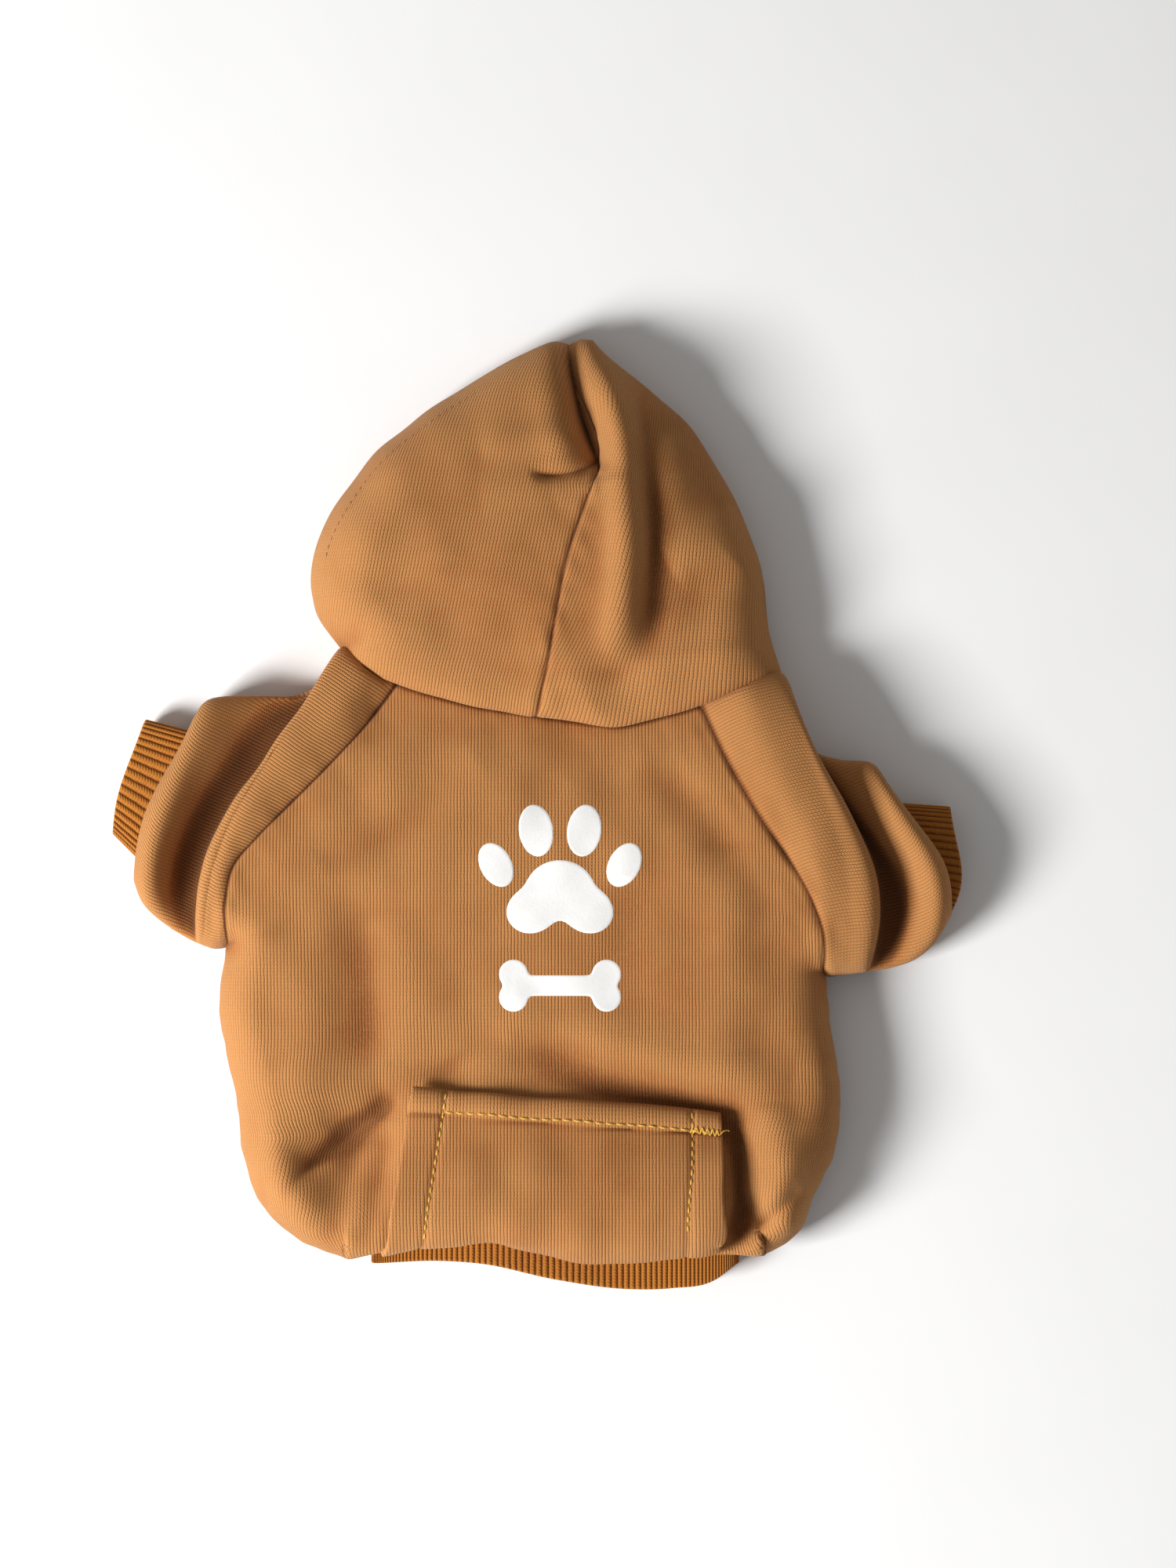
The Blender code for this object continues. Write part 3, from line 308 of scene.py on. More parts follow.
RIGHT_SLEEVE = table(
    SLEEVE_COLUMNS,
    (0.000, 0.000, 0.060, -0.005, 0.085, 0.040, 1.06, 0.74, 0.33),
    (0.000, 0.000, 0.140, -0.013, 0.095, 0.040, 1.04, 0.39, 0.33),
    (0.084, 0.135, 0.255, -0.020, 0.145, 0.040, 0.98, 0.39, 0.33),
    (0.112, 0.200, 0.300, -0.026, 0.150, 0.040, 0.48, 0.37, 0.32),
    (0.215, 0.372, 0.425, -0.042, 0.152, 0.030, 0.42, 0.36, 0.31),
    (0.395, 0.425, 0.590, -0.090, 0.122, 0.010, 0.66, 0.36, 0.31),
    (0.590, 0.437, 0.722, -0.170, 0.090, -0.010, 0.86, 0.36, 0.31),
    (0.669, 0.502, 0.812, -0.278, 0.070, -0.020, 0.73, 0.33, 0.30),
    (0.679, 0.525, 0.818, -0.298, 0.030, -0.010, 0.60, 0.31, 0.30),
    (0.689, 0.550, 0.824, -0.317, -0.020, 0.000, 0.56, 0.30, 0.29),
)
OPEN_RINGS = 2  # that end at the neckline, with the raglan seam as the first

# Cuffs, left and right: the middle of the mouth, out and along from the middle of the seam in
# cuff lengths, how far its tail end leans out, its width in shares of CUFF_MOUTH, and its bow
CUFFS = table(
    "out along lean mouth bow",
    (0.600, 0.362, 0.268, 1.00, 0.04),
    (0.560, -0.179, 0.017, 0.88, 0.08),
)
print("rings of a sleeve:", len(LEFT_SLEEVE["crest"]))

# %% Hood
# Hood: centre seam from the nape, and outline from each shoulder, in shares of HOOD_WIDTH
# across and HOOD_LENGTH along. Row says how far up the panel the point lies.
HOOD_SEAM = table(
    "row across along",
    (0.00, 0.000, 0.000),
    (0.16, 0.028, 0.145),
    (0.30, 0.043, 0.255),
    (0.48, 0.068, 0.405),
    (0.66, 0.110, 0.555),
    (0.80, 0.141, 0.662),
    (0.92, 0.122, 0.775),
    (1.00, 0.086, 0.872),
)
HOOD_LEFT = table(
    "row across along",
    (0.06, -0.462, 0.247),
    (0.16, -0.483, 0.319),
    (0.27, -0.484, 0.392),
    (0.38, -0.466, 0.475),
    (0.49, -0.426, 0.565),
    (0.60, -0.366, 0.665),
    (0.72, -0.278, 0.760),
    (0.83, -0.153, 0.862),
    (0.90, -0.039, 0.940),
    (0.945, 0.030, 0.979),
    (1.00, 0.074, 0.972),
)
HOOD_RIGHT = table(
    "row across along",
    (0.08, 0.509, 0.205),
    (0.20, 0.499, 0.288),
    (0.31, 0.492, 0.350),
    (0.43, 0.478, 0.423),
    (0.54, 0.451, 0.512),
    (0.65, 0.417, 0.595),
    (0.76, 0.360, 0.710),
    (0.86, 0.292, 0.807),
    (0.93, 0.204, 0.896),
    (0.965, 0.142, 0.958),
    (0.985, 0.112, 0.990),
    (1.00, 0.074, 0.972),
)
# How far under the hood the face opening's hem lies, of the way to the throat
FACE_EDGE = table(
    "row reach",
    (0.00, 1.00),
    (0.08, 0.68),
    (0.16, 0.36),
    (0.25, 0.17),
    (0.40, 0.11),
    (0.70, 0.085),
    (1.00, 0.075),
)
# Height of the hood from the neck to the top, in shares of HOOD_LOFT
HOOD_PROFILE = table(
    "row height",
    (0.00, 0.71),
    (0.05, 0.86),
    (0.12, 0.96),
    (0.30, 1.00),
    (0.55, 0.98),
    (0.78, 0.90),
    (1.00, 0.74),
)
print("points on the hood's outline:", len(HOOD_LEFT["row"]), "and", len(HOOD_RIGHT["row"]))

# %% Pocket
# Pocket's edges on the back, bottom to top: in half chest widths and body lengths
POCKET_EDGE = table(
    "left_across left_along right_across right_along",
    (-0.500, 1.005, 0.590, 1.005),
    (-0.470, 0.960, 0.592, 0.945),
    (-0.440, 0.860, 0.605, 0.840),
    (-0.392, 0.692, 0.598, 0.741),
)
print("points on each side of the pocket:", len(POCKET_EDGE["left_across"]))

# %% [markdown]
# # Curves and folds
# Three small tools do most of the drawing: a smooth curve through the rows of a table, a
# quarter circle for cloth that rounds over at an edge, and a soft ridge along a line.

# %% Curve helpers
def blend(a, b, share):
    return a + (b - a) * share


def smooth(at, knots, values):
    """Values at some places of a smooth curve through a table's rows."""
    knots = np.asarray(knots, dtype=float)
    values = np.asarray(values, dtype=float)
    at = np.clip(np.asarray(at, dtype=float), knots[0], knots[-1])
    slopes = np.gradient(values, knots)
    left = np.clip(np.searchsorted(knots, at, side="right") - 1, 0, len(knots) - 2)
    width = knots[left + 1] - knots[left]
    s = (at - knots[left]) / width
    start = (1 + 2 * s) * (1 - s) ** 2 * values[left] + s * (1 - s) ** 2 * width * slopes[left]
    end = s**2 * (3 - 2 * s) * values[left + 1] + s**2 * (s - 1) * width * slopes[left + 1]
    return start + end


def run_length(points):
    """Length of a line up to each of its points."""
    return np.concatenate([[0.0], np.cumsum(np.linalg.norm(np.diff(points, axis=0), axis=1))])


def through(points, shares):
    """Points at some shares of the length of a smooth curve through given points."""
    lengths = run_length(points)
    knots = lengths / lengths[-1]
    return np.stack([smooth(shares, knots, column) for column in points.T], axis=-1)


def rounding(share):
    """A quarter circle: 0 and upright at an edge, 1 and level from one roll's width on."""
    inside = np.clip(share, 0.0, 1.0)
    return np.sqrt(1.0 - (1.0 - inside) ** 2)


def fold_height(x, y, folds, wide, long, high):
    """Height that a table's folds add at a place, each a soft ridge or dip along a line.

    A table with a bow column has lines that bend to the right by that share of their length,
    and its folds die out at both ends.
    """
    total = np.zeros_like(x)
    bows = folds.get("bow", np.zeros(len(folds["x0"])))
    columns = [folds[key] for key in ("x0", "y0", "x1", "y1", "reach", "height")]
    for x0, y0, x1, y1, reach, height, bow in zip(*columns, bows):
        start = np.array((x0 * wide, y0 * long))
        run = np.array((x1 * wide, y1 * long)) - start
        length = np.hypot(*run)
        along = ((x - start[0]) * run[0] + (y - start[1]) * run[1]) / length**2
        share = np.clip(along, 0.0, 1.0)
        beside = ((x - start[0]) * run[1] - (y - start[1]) * run[0]) / length
        beside = beside - bow * length * 4 * share * (1 - share)
        away = np.hypot(beside, (along - share) * length)
        fade = 1 - np.abs(2 * share - 1) ** FOLD_FADE if "bow" in folds else 1.0
        total = total + fade * height * high * np.exp(-((away / (reach * wide)) ** 2))
    return total


def slopes(height, x, y, step):
    """How steeply a surface rises across and along at a place."""
    across = (height(x + step, y) - height(x - step, y)) / (2 * step)
    along = (height(x, y + step) - height(x, y - step)) / (2 * step)
    return across, along


def close_to_edges(count):
    """Column places from 0 to 1 that crowd towards both edges, where the cloth rounds over."""
    even = np.linspace(0.0, 1.0, count + 1)
    return blend(even, (1 - np.cos(np.pi * even)) / 2, EDGE_CROWDING)

# %% The body's outline
# The body's outline in plan, shared by the back, the belly, the sleeves and the pocket
HALF_CHEST = (CHEST_WIDTH - CLOTH) / 2


def neck_point(index, ring):
    rows = np.arange(len(ring["across"]))
    x = NECK_WIDTH * smooth(index, rows, ring["across"])
    y = NECK_RISE * smooth(index, rows, ring["rise"])
    return np.stack([x, y], axis=-1)


def on_body(rows, side):
    """Places in plan, from a side's half chest widths and body lengths."""
    x, y = rows[side + "_across"] * HALF_CHEST, -rows[side + "_along"] * BODY_LENGTH
    return np.stack([x, y], axis=-1)


def outward(side, line):
    """Square to a line that runs from the neck to the armpit, away from the body."""
    return SIGN[side] * np.array((-line[1], line[0]))


def side_seam(side, shares):
    """From the corner above the waist to the armpit."""
    return through(on_body(SIDES, side)[::-1], shares)


def armpit(side):
    return side_seam(side, np.array([1.0]))[0]


def waist_corner(side):
    return side_seam(side, np.array([0.0]))[0]


def raglan_seam(side, shares):
    """On the back, from the neck to the armpit."""
    start = neck_point(NECK_ROWS[side], NECK)
    line = armpit(side) - start
    along, out = RAGLAN[side + "_along"][:, None], RAGLAN[side + "_out"][:, None]
    return through(start + along * line + out * outward(side, line), shares)


def belly_raglan(side, shares):
    """On the belly, from the throat to the armpit."""
    start = neck_point(THROAT_ROWS[side], THROAT)
    return start + shares[:, None] * (armpit(side) - start)


def waist_fold(shares):
    """The outermost line of the fold above the waist, left corner to right."""
    left, right = waist_corner("left"), waist_corner("right")
    line = left + shares[:, None] * (right - left)
    line[:, 1] += WAIST_WAVE * smooth(shares, WAIST_FOLD["across"], WAIST_FOLD["wave"])
    return line


def waist_fold_height(shares):
    span = np.linalg.norm(waist_corner("right") - waist_corner("left"))
    inside = np.minimum(shares, 1.0 - shares) * span
    rise = rounding(inside / SIDE_ROLL)
    return SIDE_HEIGHT + (WAIST_FOLD_HEIGHT - SIDE_HEIGHT) * rise


def outline():
    """The back's outer edge in plan, with its height and how wide the cloth rounds there."""
    shares = np.linspace(0.0, 1.0, OUTLINE_STEPS)
    left = side_seam("left", shares[::-1])
    fold = waist_fold(shares)
    right = side_seam("right", shares)
    side_heights = np.full(len(shares), SIDE_HEIGHT)
    side_rolls = np.full(len(shares), SIDE_ROLL)
    points = np.concatenate([left, fold, right])
    heights = np.concatenate([side_heights, waist_fold_height(shares), side_heights])
    rolls = np.concatenate([side_rolls, np.full(len(shares), WAIST_ROLL), side_rolls])
    return points, heights, rolls


OUTLINE = outline()
print("outline of the body:", len(OUTLINE[0]), "points")


# %% The nearest place on an outline
def to_segments(spots, line, index):
    """Distance from some spots to the stretches of a line on both sides of its nearest point."""
    best = np.full(len(spots), np.inf)
    for step in (-1, 1):
        start = line[index]
        run = line[np.clip(index + step, 0, len(line) - 1)] - start
        length = np.maximum((run**2).sum(axis=1), TINY)
        share = np.clip(((spots - start) * run).sum(axis=1) / length, 0.0, 1.0)
        away = np.linalg.norm(spots - start - share[:, None] * run, axis=1)
        best = np.minimum(best, away)
    return best


def nearest(x, y, line):
    """Distance to a line in plan, and the line's nearest point, worked out in blocks."""
    spots = np.stack([x.ravel(), y.ravel()], axis=-1)
    index = np.empty(len(spots), dtype=int)
    for start in range(0, len(spots), BLOCK):
        block = spots[start : start + BLOCK]
        gap = (block[:, :1] - line[:, 0]) ** 2 + (block[:, 1:] - line[:, 1]) ** 2
        index[start : start + BLOCK] = gap.argmin(axis=1)
    return to_segments(spots, line, index).reshape(x.shape), index.reshape(x.shape)


# %% [markdown]
# # Finer folds
# The solids hold the main folds. The small ones, a few millimetres wide, are added here with
# the same kind of table, and a sum of slow waves keeps the cloth between them from lying
# dead flat. A cloth simulation could fold it too, but not into these very folds.

# %% Finer folds
# Back: ends in half chest widths and body lengths from the nape, as in BACK_FOLDS
BACK_CREASES = table(
    "x0 y0 x1 y1 bow reach height",
    (-0.42, 0.660, 0.70, 0.716, 0.00, 0.040, -0.15),  # hollow just above the pocket's fold
    (-0.44, 0.715, -0.82, 0.890, -0.04, 0.026, -0.40),  # crease that leaves the pocket's corner
    (-0.88, 0.920, -0.48, 0.950, 0.05, 0.120, 0.70),  # roll below it
    (-0.90, 0.760, -0.50, 0.720, 0.05, 0.110, 0.40),
    (-0.47, 0.760, -0.55, 1.000, 0.00, 0.045, -0.55),  # hollow along the pocket's left side
    (0.645, 0.750, 0.650, 0.985, 0.03, 0.040, -0.75),  # gap along the pocket's right side
    (0.770, 0.720, 0.780, 0.960, 0.05, 0.070, 0.60),
    (0.590, 1.010, 0.860, 0.870, -0.04, 0.034, -0.90),  # sharp crease at the lower right
    (0.680, 1.030, 0.930, 0.900, -0.04, 0.070, 0.40),
    (-0.10, 0.540, 0.84, 0.660, -0.05, 0.080, 0.55),  # swell over the slanting dip
    (-0.10, 0.620, 0.74, 0.760, -0.05, 0.060, -0.28),
    (-0.10, 0.580, -0.70, 0.760, 0.03, 0.060, -0.40),
    (-0.84, 0.400, -0.74, 0.740, 0.04, 0.100, 0.28),
    (-0.66, 0.300, -0.56, 0.700, 0.05, 0.080, -0.26),
    (-0.45, 0.360, -0.42, 0.640, 0.00, 0.080, 0.25),
    (-0.70, 0.280, -0.20, 0.080, -0.05, 0.070, -0.40),
    (0.36, 0.080, 0.78, 0.380, 0.05, 0.070, -0.40),
    (0.62, 0.240, 0.64, 0.620, 0.03, 0.130, 0.40),
    (0.84, 0.320, 0.88, 0.760, 0.03, 0.080, -0.36),
    (0.30, 0.300, 0.28, 0.560, 0.00, 0.090, -0.25),
)
# Hood: ends in hood widths and hood lengths from the nape
HOOD_CREASES = table(
    "x0 y0 x1 y1 bow reach height",
    (0.148, 0.630, 0.070, 1.090, -0.06, 0.017, -0.80),  # the crease drawn tight
    (0.150, 0.600, 0.074, 1.060, -0.06, 0.052, -0.50),
    (0.090, 0.600, 0.020, 1.060, -0.05, 0.045, 0.22),  # its swollen left lip
    (0.172, 0.120, 0.112, 1.120, 0.06, 0.042, 0.66),  # the roll that leans over it
    (0.245, 0.140, 0.168, 1.040, 0.05, 0.038, -0.30),  # far side of the roll
    (0.380, 0.160, 0.290, 1.020, 0.05, 0.120, -0.62),  # the right half lies lower
    (0.150, 0.664, -0.010, 0.620, -0.08, 0.015, -0.34),  # short pinch left of the seam
    (0.140, 0.715, -0.120, 0.690, 0.04, 0.040, 0.20),
    (0.140, 0.600, -0.120, 0.570, 0.04, 0.045, 0.12),
    (-0.420, 0.380, 0.020, 0.020, -0.05, 0.085, -0.20),  # slanting dip low on the left
    (-0.380, 0.240, -0.080, -0.020, -0.05, 0.070, 0.14),
    (-0.430, 0.420, 0.040, 0.560, 0.05, 0.110, 0.16),
    (0.430, 0.400, 0.120, 0.040, 0.04, 0.060, -0.24),  # and low on the right
    (0.290, 0.380, 0.500, 0.520, -0.04, 0.050, 0.24),
)
FOLD_FADE = 4  # how suddenly a fold ends: more is more sudden
SLOW_WAVE = {"height": 0.00020, "length": 0.021, "seed": 3}
PUCKER = {"height": 0.00016, "length": 0.0075, "seed": 11}  # of the cloth beside a seam
PUCKER_REACH = 0.005
WAVES = 7  # in each sum of waves
SEAM_DIP = 0.0006
SEAM_WIDTH = 0.0011
print("finer folds:", len(BACK_CREASES["x0"]), "on the back,", len(HOOD_CREASES["x0"]), "on the hood")


def ripple(grid, height, length, seed):
    """Slow waves in all directions, always the same for a seed."""
    chance = np.random.default_rng(seed)
    total = np.zeros(grid.shape[:2])
    for _ in range(WAVES):
        turn, phase = chance.uniform(0.0, 2 * np.pi, 2)
        number = 2 * np.pi / length * chance.uniform(0.7, 1.4)
        along = grid[..., 0] * np.cos(turn) + grid[..., 1] * np.sin(turn)
        total += np.sin(number * along + phase)
    return height * total / np.sqrt(WAVES)


# %% Heights of the back and the belly
def back_height(x, y, fold_tables=(BACK_FOLDS, BACK_CREASES)):
    """Height of the back at a place in plan."""
    points, heights, rolls = OUTLINE
    away, index = nearest(x, y, points)
    loft = BODY_LOFT * smooth(-y / BODY_LENGTH, BACK_PROFILE["along"], BACK_PROFILE["height"])
    for folds in fold_tables:
        loft = loft + fold_height(x, -y, folds, HALF_CHEST, BODY_LENGTH, BACK_FOLD)
    return blend(heights[index], loft, rounding(away / rolls[index]))


def belly_height(x, y):
    """Height of the belly, which lies flat and rounds up to the side seams."""
    shares = np.linspace(0.0, 1.0, OUTLINE_STEPS)
    left, _ = nearest(x, y, side_seam("left", shares))
    right, _ = nearest(x, y, side_seam("right", shares))
    return blend(SIDE_HEIGHT, CLOTH / 2, rounding(np.minimum(left, right) / BELLY_ROLL))


# %% [markdown]
# # The panels as grids
# Each panel is a grid of points in the middle of the cloth, in rows and columns that start
# and end on its seams. A grid is easy to thicken, to measure along and to lay knit on.

# %% Back and belly
def patch(left, right, bottom, top, columns):
    """Places in plan between four edges that share their corners."""
    rows = run_length(left)
    v = (rows / rows[-1])[:, None, None]
    u = columns[None, :, None]
    across = blend(left[:, None, :], right[:, None, :], u)
    along = blend(bottom[None, :, :], top[None, :, :], v)
    corners = blend(blend(bottom[0], bottom[-1], u), blend(top[0], top[-1], u), v)
    return across + along - corners


def raglan_shares():
    """Places along a raglan seam, closer together towards the armpit."""
    even = np.linspace(0.0, 1.0, RAGLAN_ROWS + 1)
    return blend(even, np.sin(np.pi / 2 * even), RAGLAN_CROWDING)


def body_edge(side, raglan):
    """A side of the body in plan: up the side seam and the raglan seam, corner to neck."""
    even = np.linspace(0.0, 1.0, SIDE_ROWS + 1)
    seam = side_seam(side, blend(even, 1 - np.cos(np.pi / 2 * even), SIDE_CROWDING))
    return np.concatenate([seam, raglan(side, raglan_shares())[::-1][1:]])


def back_panel():
    columns = close_to_edges(BODY_COLUMNS)
    left = body_edge("left", raglan_seam)
    right = body_edge("right", raglan_seam)
    top = neck_point(blend(NECK_ROWS["left"], NECK_ROWS["right"], columns), NECK)
    plan = patch(left, right, waist_fold(columns), top, columns)
    main = np.dstack([plan, back_height(plan[..., 0], plan[..., 1])])
    return np.concatenate([waist_tuck(columns), main])


def tuck_line(shares):
    """The inner edge of the tucked cloth, which is sewn to the waist rib."""
    left, right = waist_corner("left"), waist_corner("right")
    middle = (left + right) / 2 + np.array((0.0, TUCK))
    x = middle[0] + (shares - 0.5) * TUCK_WIDTH
    return np.stack([x, np.full_like(shares, middle[1])], axis=-1)


def waist_tuck(columns):
    """Rows of the back from the waist seam out to the fold, on its under side."""
    inner = tuck_line(columns)
    outer = waist_fold(columns)
    span = np.minimum(columns, 1.0 - columns) * TUCK_WIDTH
    seam_height = CLOTH / 2 + WAIST_RIB_LOFT + (CLOTH + RIB_CLOTH) / 2 + SEAM_GAP * 2
    low = blend(SIDE_HEIGHT, seam_height, rounding(span / SIDE_ROLL * CORNER_TURN))
    high = waist_fold_height(columns)
    rows = []
    for step in range(TUCK_ROWS):
        turn = np.pi / 2 * step / TUCK_ROWS
        plan = blend(inner, outer, np.sin(turn))
        height = blend(low, high, 1 - np.cos(turn))
        rows.append(np.column_stack([plan, height]))
    return np.array(rows)


def belly_panel():
    columns = close_to_edges(BELLY_COLUMNS)
    left = body_edge("left", belly_raglan)
    right = body_edge("right", belly_raglan)
    top = neck_point(blend(THROAT_ROWS["left"], THROAT_ROWS["right"], columns), THROAT)
    bottom = tuck_line(columns) + np.array((0.0, NECK_GAP))
    bottom[0], bottom[-1] = left[0], right[0]
    plan = patch(left, right, bottom, top, columns)
    return np.dstack([plan, belly_height(plan[..., 0], plan[..., 1])])


print("corners above the waist:", waist_corner("left").round(4), waist_corner("right").round(4))


# %% Sleeves
def ring(head, tail, columns, bows, ends, crest, floor, side):
    """A flattened loop: over from its head to its tail, and back underneath."""
    line = tail - head
    out = outward(side, line) / np.linalg.norm(line)
    swell = np.sin(np.pi * columns**BOW_LEAN)
    rise = np.sin(np.arccos(np.clip(1 - 2 * columns, -1, 1))) ** RING_FLATNESS
    end = np.where(columns < 0.5, ends[0], ends[1])
    halves = []
    for bow, height in zip(bows, (crest, floor)):
        plan = head + columns[:, None] * line + (bow * swell)[:, None] * out
        halves.append(np.column_stack([plan, blend(end, height, rise)]))
    return np.concatenate([halves[0], halves[1][::-1][1:]])


def open_ring(side, tail, columns, bows, ends, crest):
    """The ring between the raglan seam and the shoulder, open where the neckline crosses it."""
    over = neck_point(NECK_ENDS[side] - SIGN[side], NECK)
    under = neck_point(THROAT_ENDS[side] - SIGN[side], THROAT)
    half = len(columns)
    upper = ring(over, tail, columns, bows, ends, crest, CLOTH / 2, side)[:half]
    under_ends = (SHOULDER_HEIGHT * THROAT_TURN, ends[1])
    lower = ring(under, tail, columns, bows, under_ends, crest, CLOTH / 2, side)[half - 1 :]
    return np.concatenate([upper, lower[1:]])


def cuff_cover():
    """Height of the sleeve's tucked edge, which lies on the cuff."""
    return RIB_CLOTH / 2 + CUFF_LOFT + (CLOTH + RIB_CLOTH) / 2 + 2 * SEAM_GAP


def main_rings(side):
    """The rings that the sleeve's table names, from the raglan seam to the cuff."""
    rows = LEFT_SLEEVE if side == "left" else RIGHT_SLEEVE
    size = np.array((SIGN[side] * SLEEVE_REACH, -SLEEVE_SPAN))
    shares = raglan_shares()
    upper = raglan_seam(side, shares)
    lower = belly_raglan(side, shares)
    upper = np.column_stack([upper, back_height(upper[:, 0], upper[:, 1])])
    lower = np.column_stack([lower, belly_height(lower[:, 0], lower[:, 1])])
    rings = [np.concatenate([upper, lower[::-1][1:]])]
    even = np.linspace(0.0, 1.0, RAGLAN_ROWS + 1)
    rounded = (1 - np.cos(np.pi * even)) / 2
    shoulder = neck_point(NECK_ENDS[side], NECK)
    last = len(rows["crest"]) - 1
    for index in range(last + 1):
        row = {name: values[index] for name, values in rows.items()}
        columns = blend(shares, rounded, min((index + 1) / OPEN_RINGS, 1.0))
        head = shoulder + size * (row["head_out"], row["head_back"])
        tail = armpit(side) + size * (row["tail_out"], row["tail_back"])
        ends = (row["head_height"] * SLEEVE_LOFT, row["tail_height"] * SLEEVE_LOFT)
        crest = cuff_cover() if index == last else row["crest"] * SLEEVE_LOFT
        bows = (row["bow"] * SLEEVE_SPAN, row["under_bow"] * SLEEVE_SPAN)
        if index + 1 < OPEN_RINGS:
            rings.append(open_ring(side, tail, columns, bows, ends, crest))
            continue
        if index + 1 == OPEN_RINGS:
            ends = (SHOULDER_HEIGHT, ends[1])
        rings.append(ring(head, tail, columns, bows, ends, crest, CLOTH / 2, side))
    return np.array(rings)


def sleeve(side):
    """Many rings, on smooth curves through the main ones, with the neckline kept exact."""
    rings = main_rings(side)
    knots = np.arange(len(rings))
    steps = np.linspace(0.0, knots[-1], RING_STEPS * knots[-1] + 1)
    flat = rings.reshape(len(rings), -1)
    dense = np.stack([smooth(steps, knots, column) for column in flat.T], axis=-1)
    dense = dense.reshape(len(steps), *rings.shape[1:])
    at_neck = steps <= OPEN_RINGS
    for seam, column, row in ((NECK, 0, NECK_ROWS[side]), (THROAT, -1, THROAT_ROWS[side])):
        dense[at_neck, column, :2] = neck_point(row + SIGN[side] * steps[at_neck], seam)
    dense[..., 2] = np.maximum(dense[..., 2], CLOTH / 2)
    return dense


# %% Cuffs and the waist rib
RIB_STEPS = 8  # columns to a rib
CUFF_RIBS = 20  # on each face of a cuff
WAIST_RIBS = 86
CUFF_GRID_ROWS = 26
WAIST_GRID_ROWS = 22


def rib_ring(head, tail, columns, bow, loft, side):
    floor = RIB_CLOTH / 2
    ends = (floor + loft / 2, floor + loft / 2)
    return ring(head, tail, columns, (bow, bow), ends, floor + loft, floor, side)


def cuff(side, sleeve_rings):
    """A flat tube from under the sleeve's end to its mouth."""
    row = {name: values[0 if side == "left" else 1] for name, values in CUFFS.items()}
    head, tail = sleeve_rings[-1][0][:2], sleeve_rings[-1][RAGLAN_ROWS][:2]
    line = (tail - head) / np.linalg.norm(tail - head)
    out = outward(side, line)
    head, tail = head + line * CUFF_INSET, tail - line * CUFF_INSET
    head, tail = head - out * CUFF_TUCK, tail - out * CUFF_TUCK
    offset = np.array((SIGN[side] * row["out"], row["along"])) * CUFF_LENGTH
    middle = (head + tail) / 2 + offset + out * CUFF_TUCK
    lean = np.array((SIGN[side] * row["lean"], -np.sqrt(1 - row["lean"] ** 2)))
    half = lean * row["mouth"] * CUFF_MOUTH / 2
    columns = (1 - np.cos(np.linspace(0.0, np.pi, CUFF_RIBS * RIB_STEPS + 1))) / 2
    rings = []
    for step in np.linspace(0.0, 1.0, CUFF_GRID_ROWS + 1):
        bow = step * row["bow"] * CUFF_MOUTH
        start = blend(head, middle - half, step)
        end = blend(tail, middle + half, step)
        rings.append(rib_ring(start, end, columns, bow, CUFF_LOFT, side))
    return np.array(rings)


def waist_rib():
    """A flat tube from the waist seam to its mouth."""
    columns = close_to_edges(WAIST_RIBS * RIB_STEPS)
    corners = (waist_corner("left") + waist_corner("right")) / 2
    head = corners + np.array((-WAIST_RIB_WIDTH / 2, TUCK))
    tail = corners + np.array((WAIST_RIB_WIDTH / 2, TUCK))
    reach = WAIST_RIB_LENGTH * smooth(columns, WAIST_MOUTH["across"], WAIST_MOUTH["length"])
    reach = np.concatenate([reach, reach[::-1][1:]])
    flat = rib_ring(head, tail, columns, 0.0, WAIST_RIB_LOFT, "right")
    rings = []
    for step in np.linspace(0.0, 1.0, WAIST_GRID_ROWS + 1):
        moved = flat.copy()
        moved[:, 1] -= reach * step
        rings.append(moved)
    return np.array(rings)


# %% Hood
HOOD_TURN = 0.0042  # how soon the hood rounds up from the neck seam
HOOD_DROP = 0.0030  # how far it comes down to the seam
HOOD_OVERHANG = 0.0013  # how far it bulges over the seam


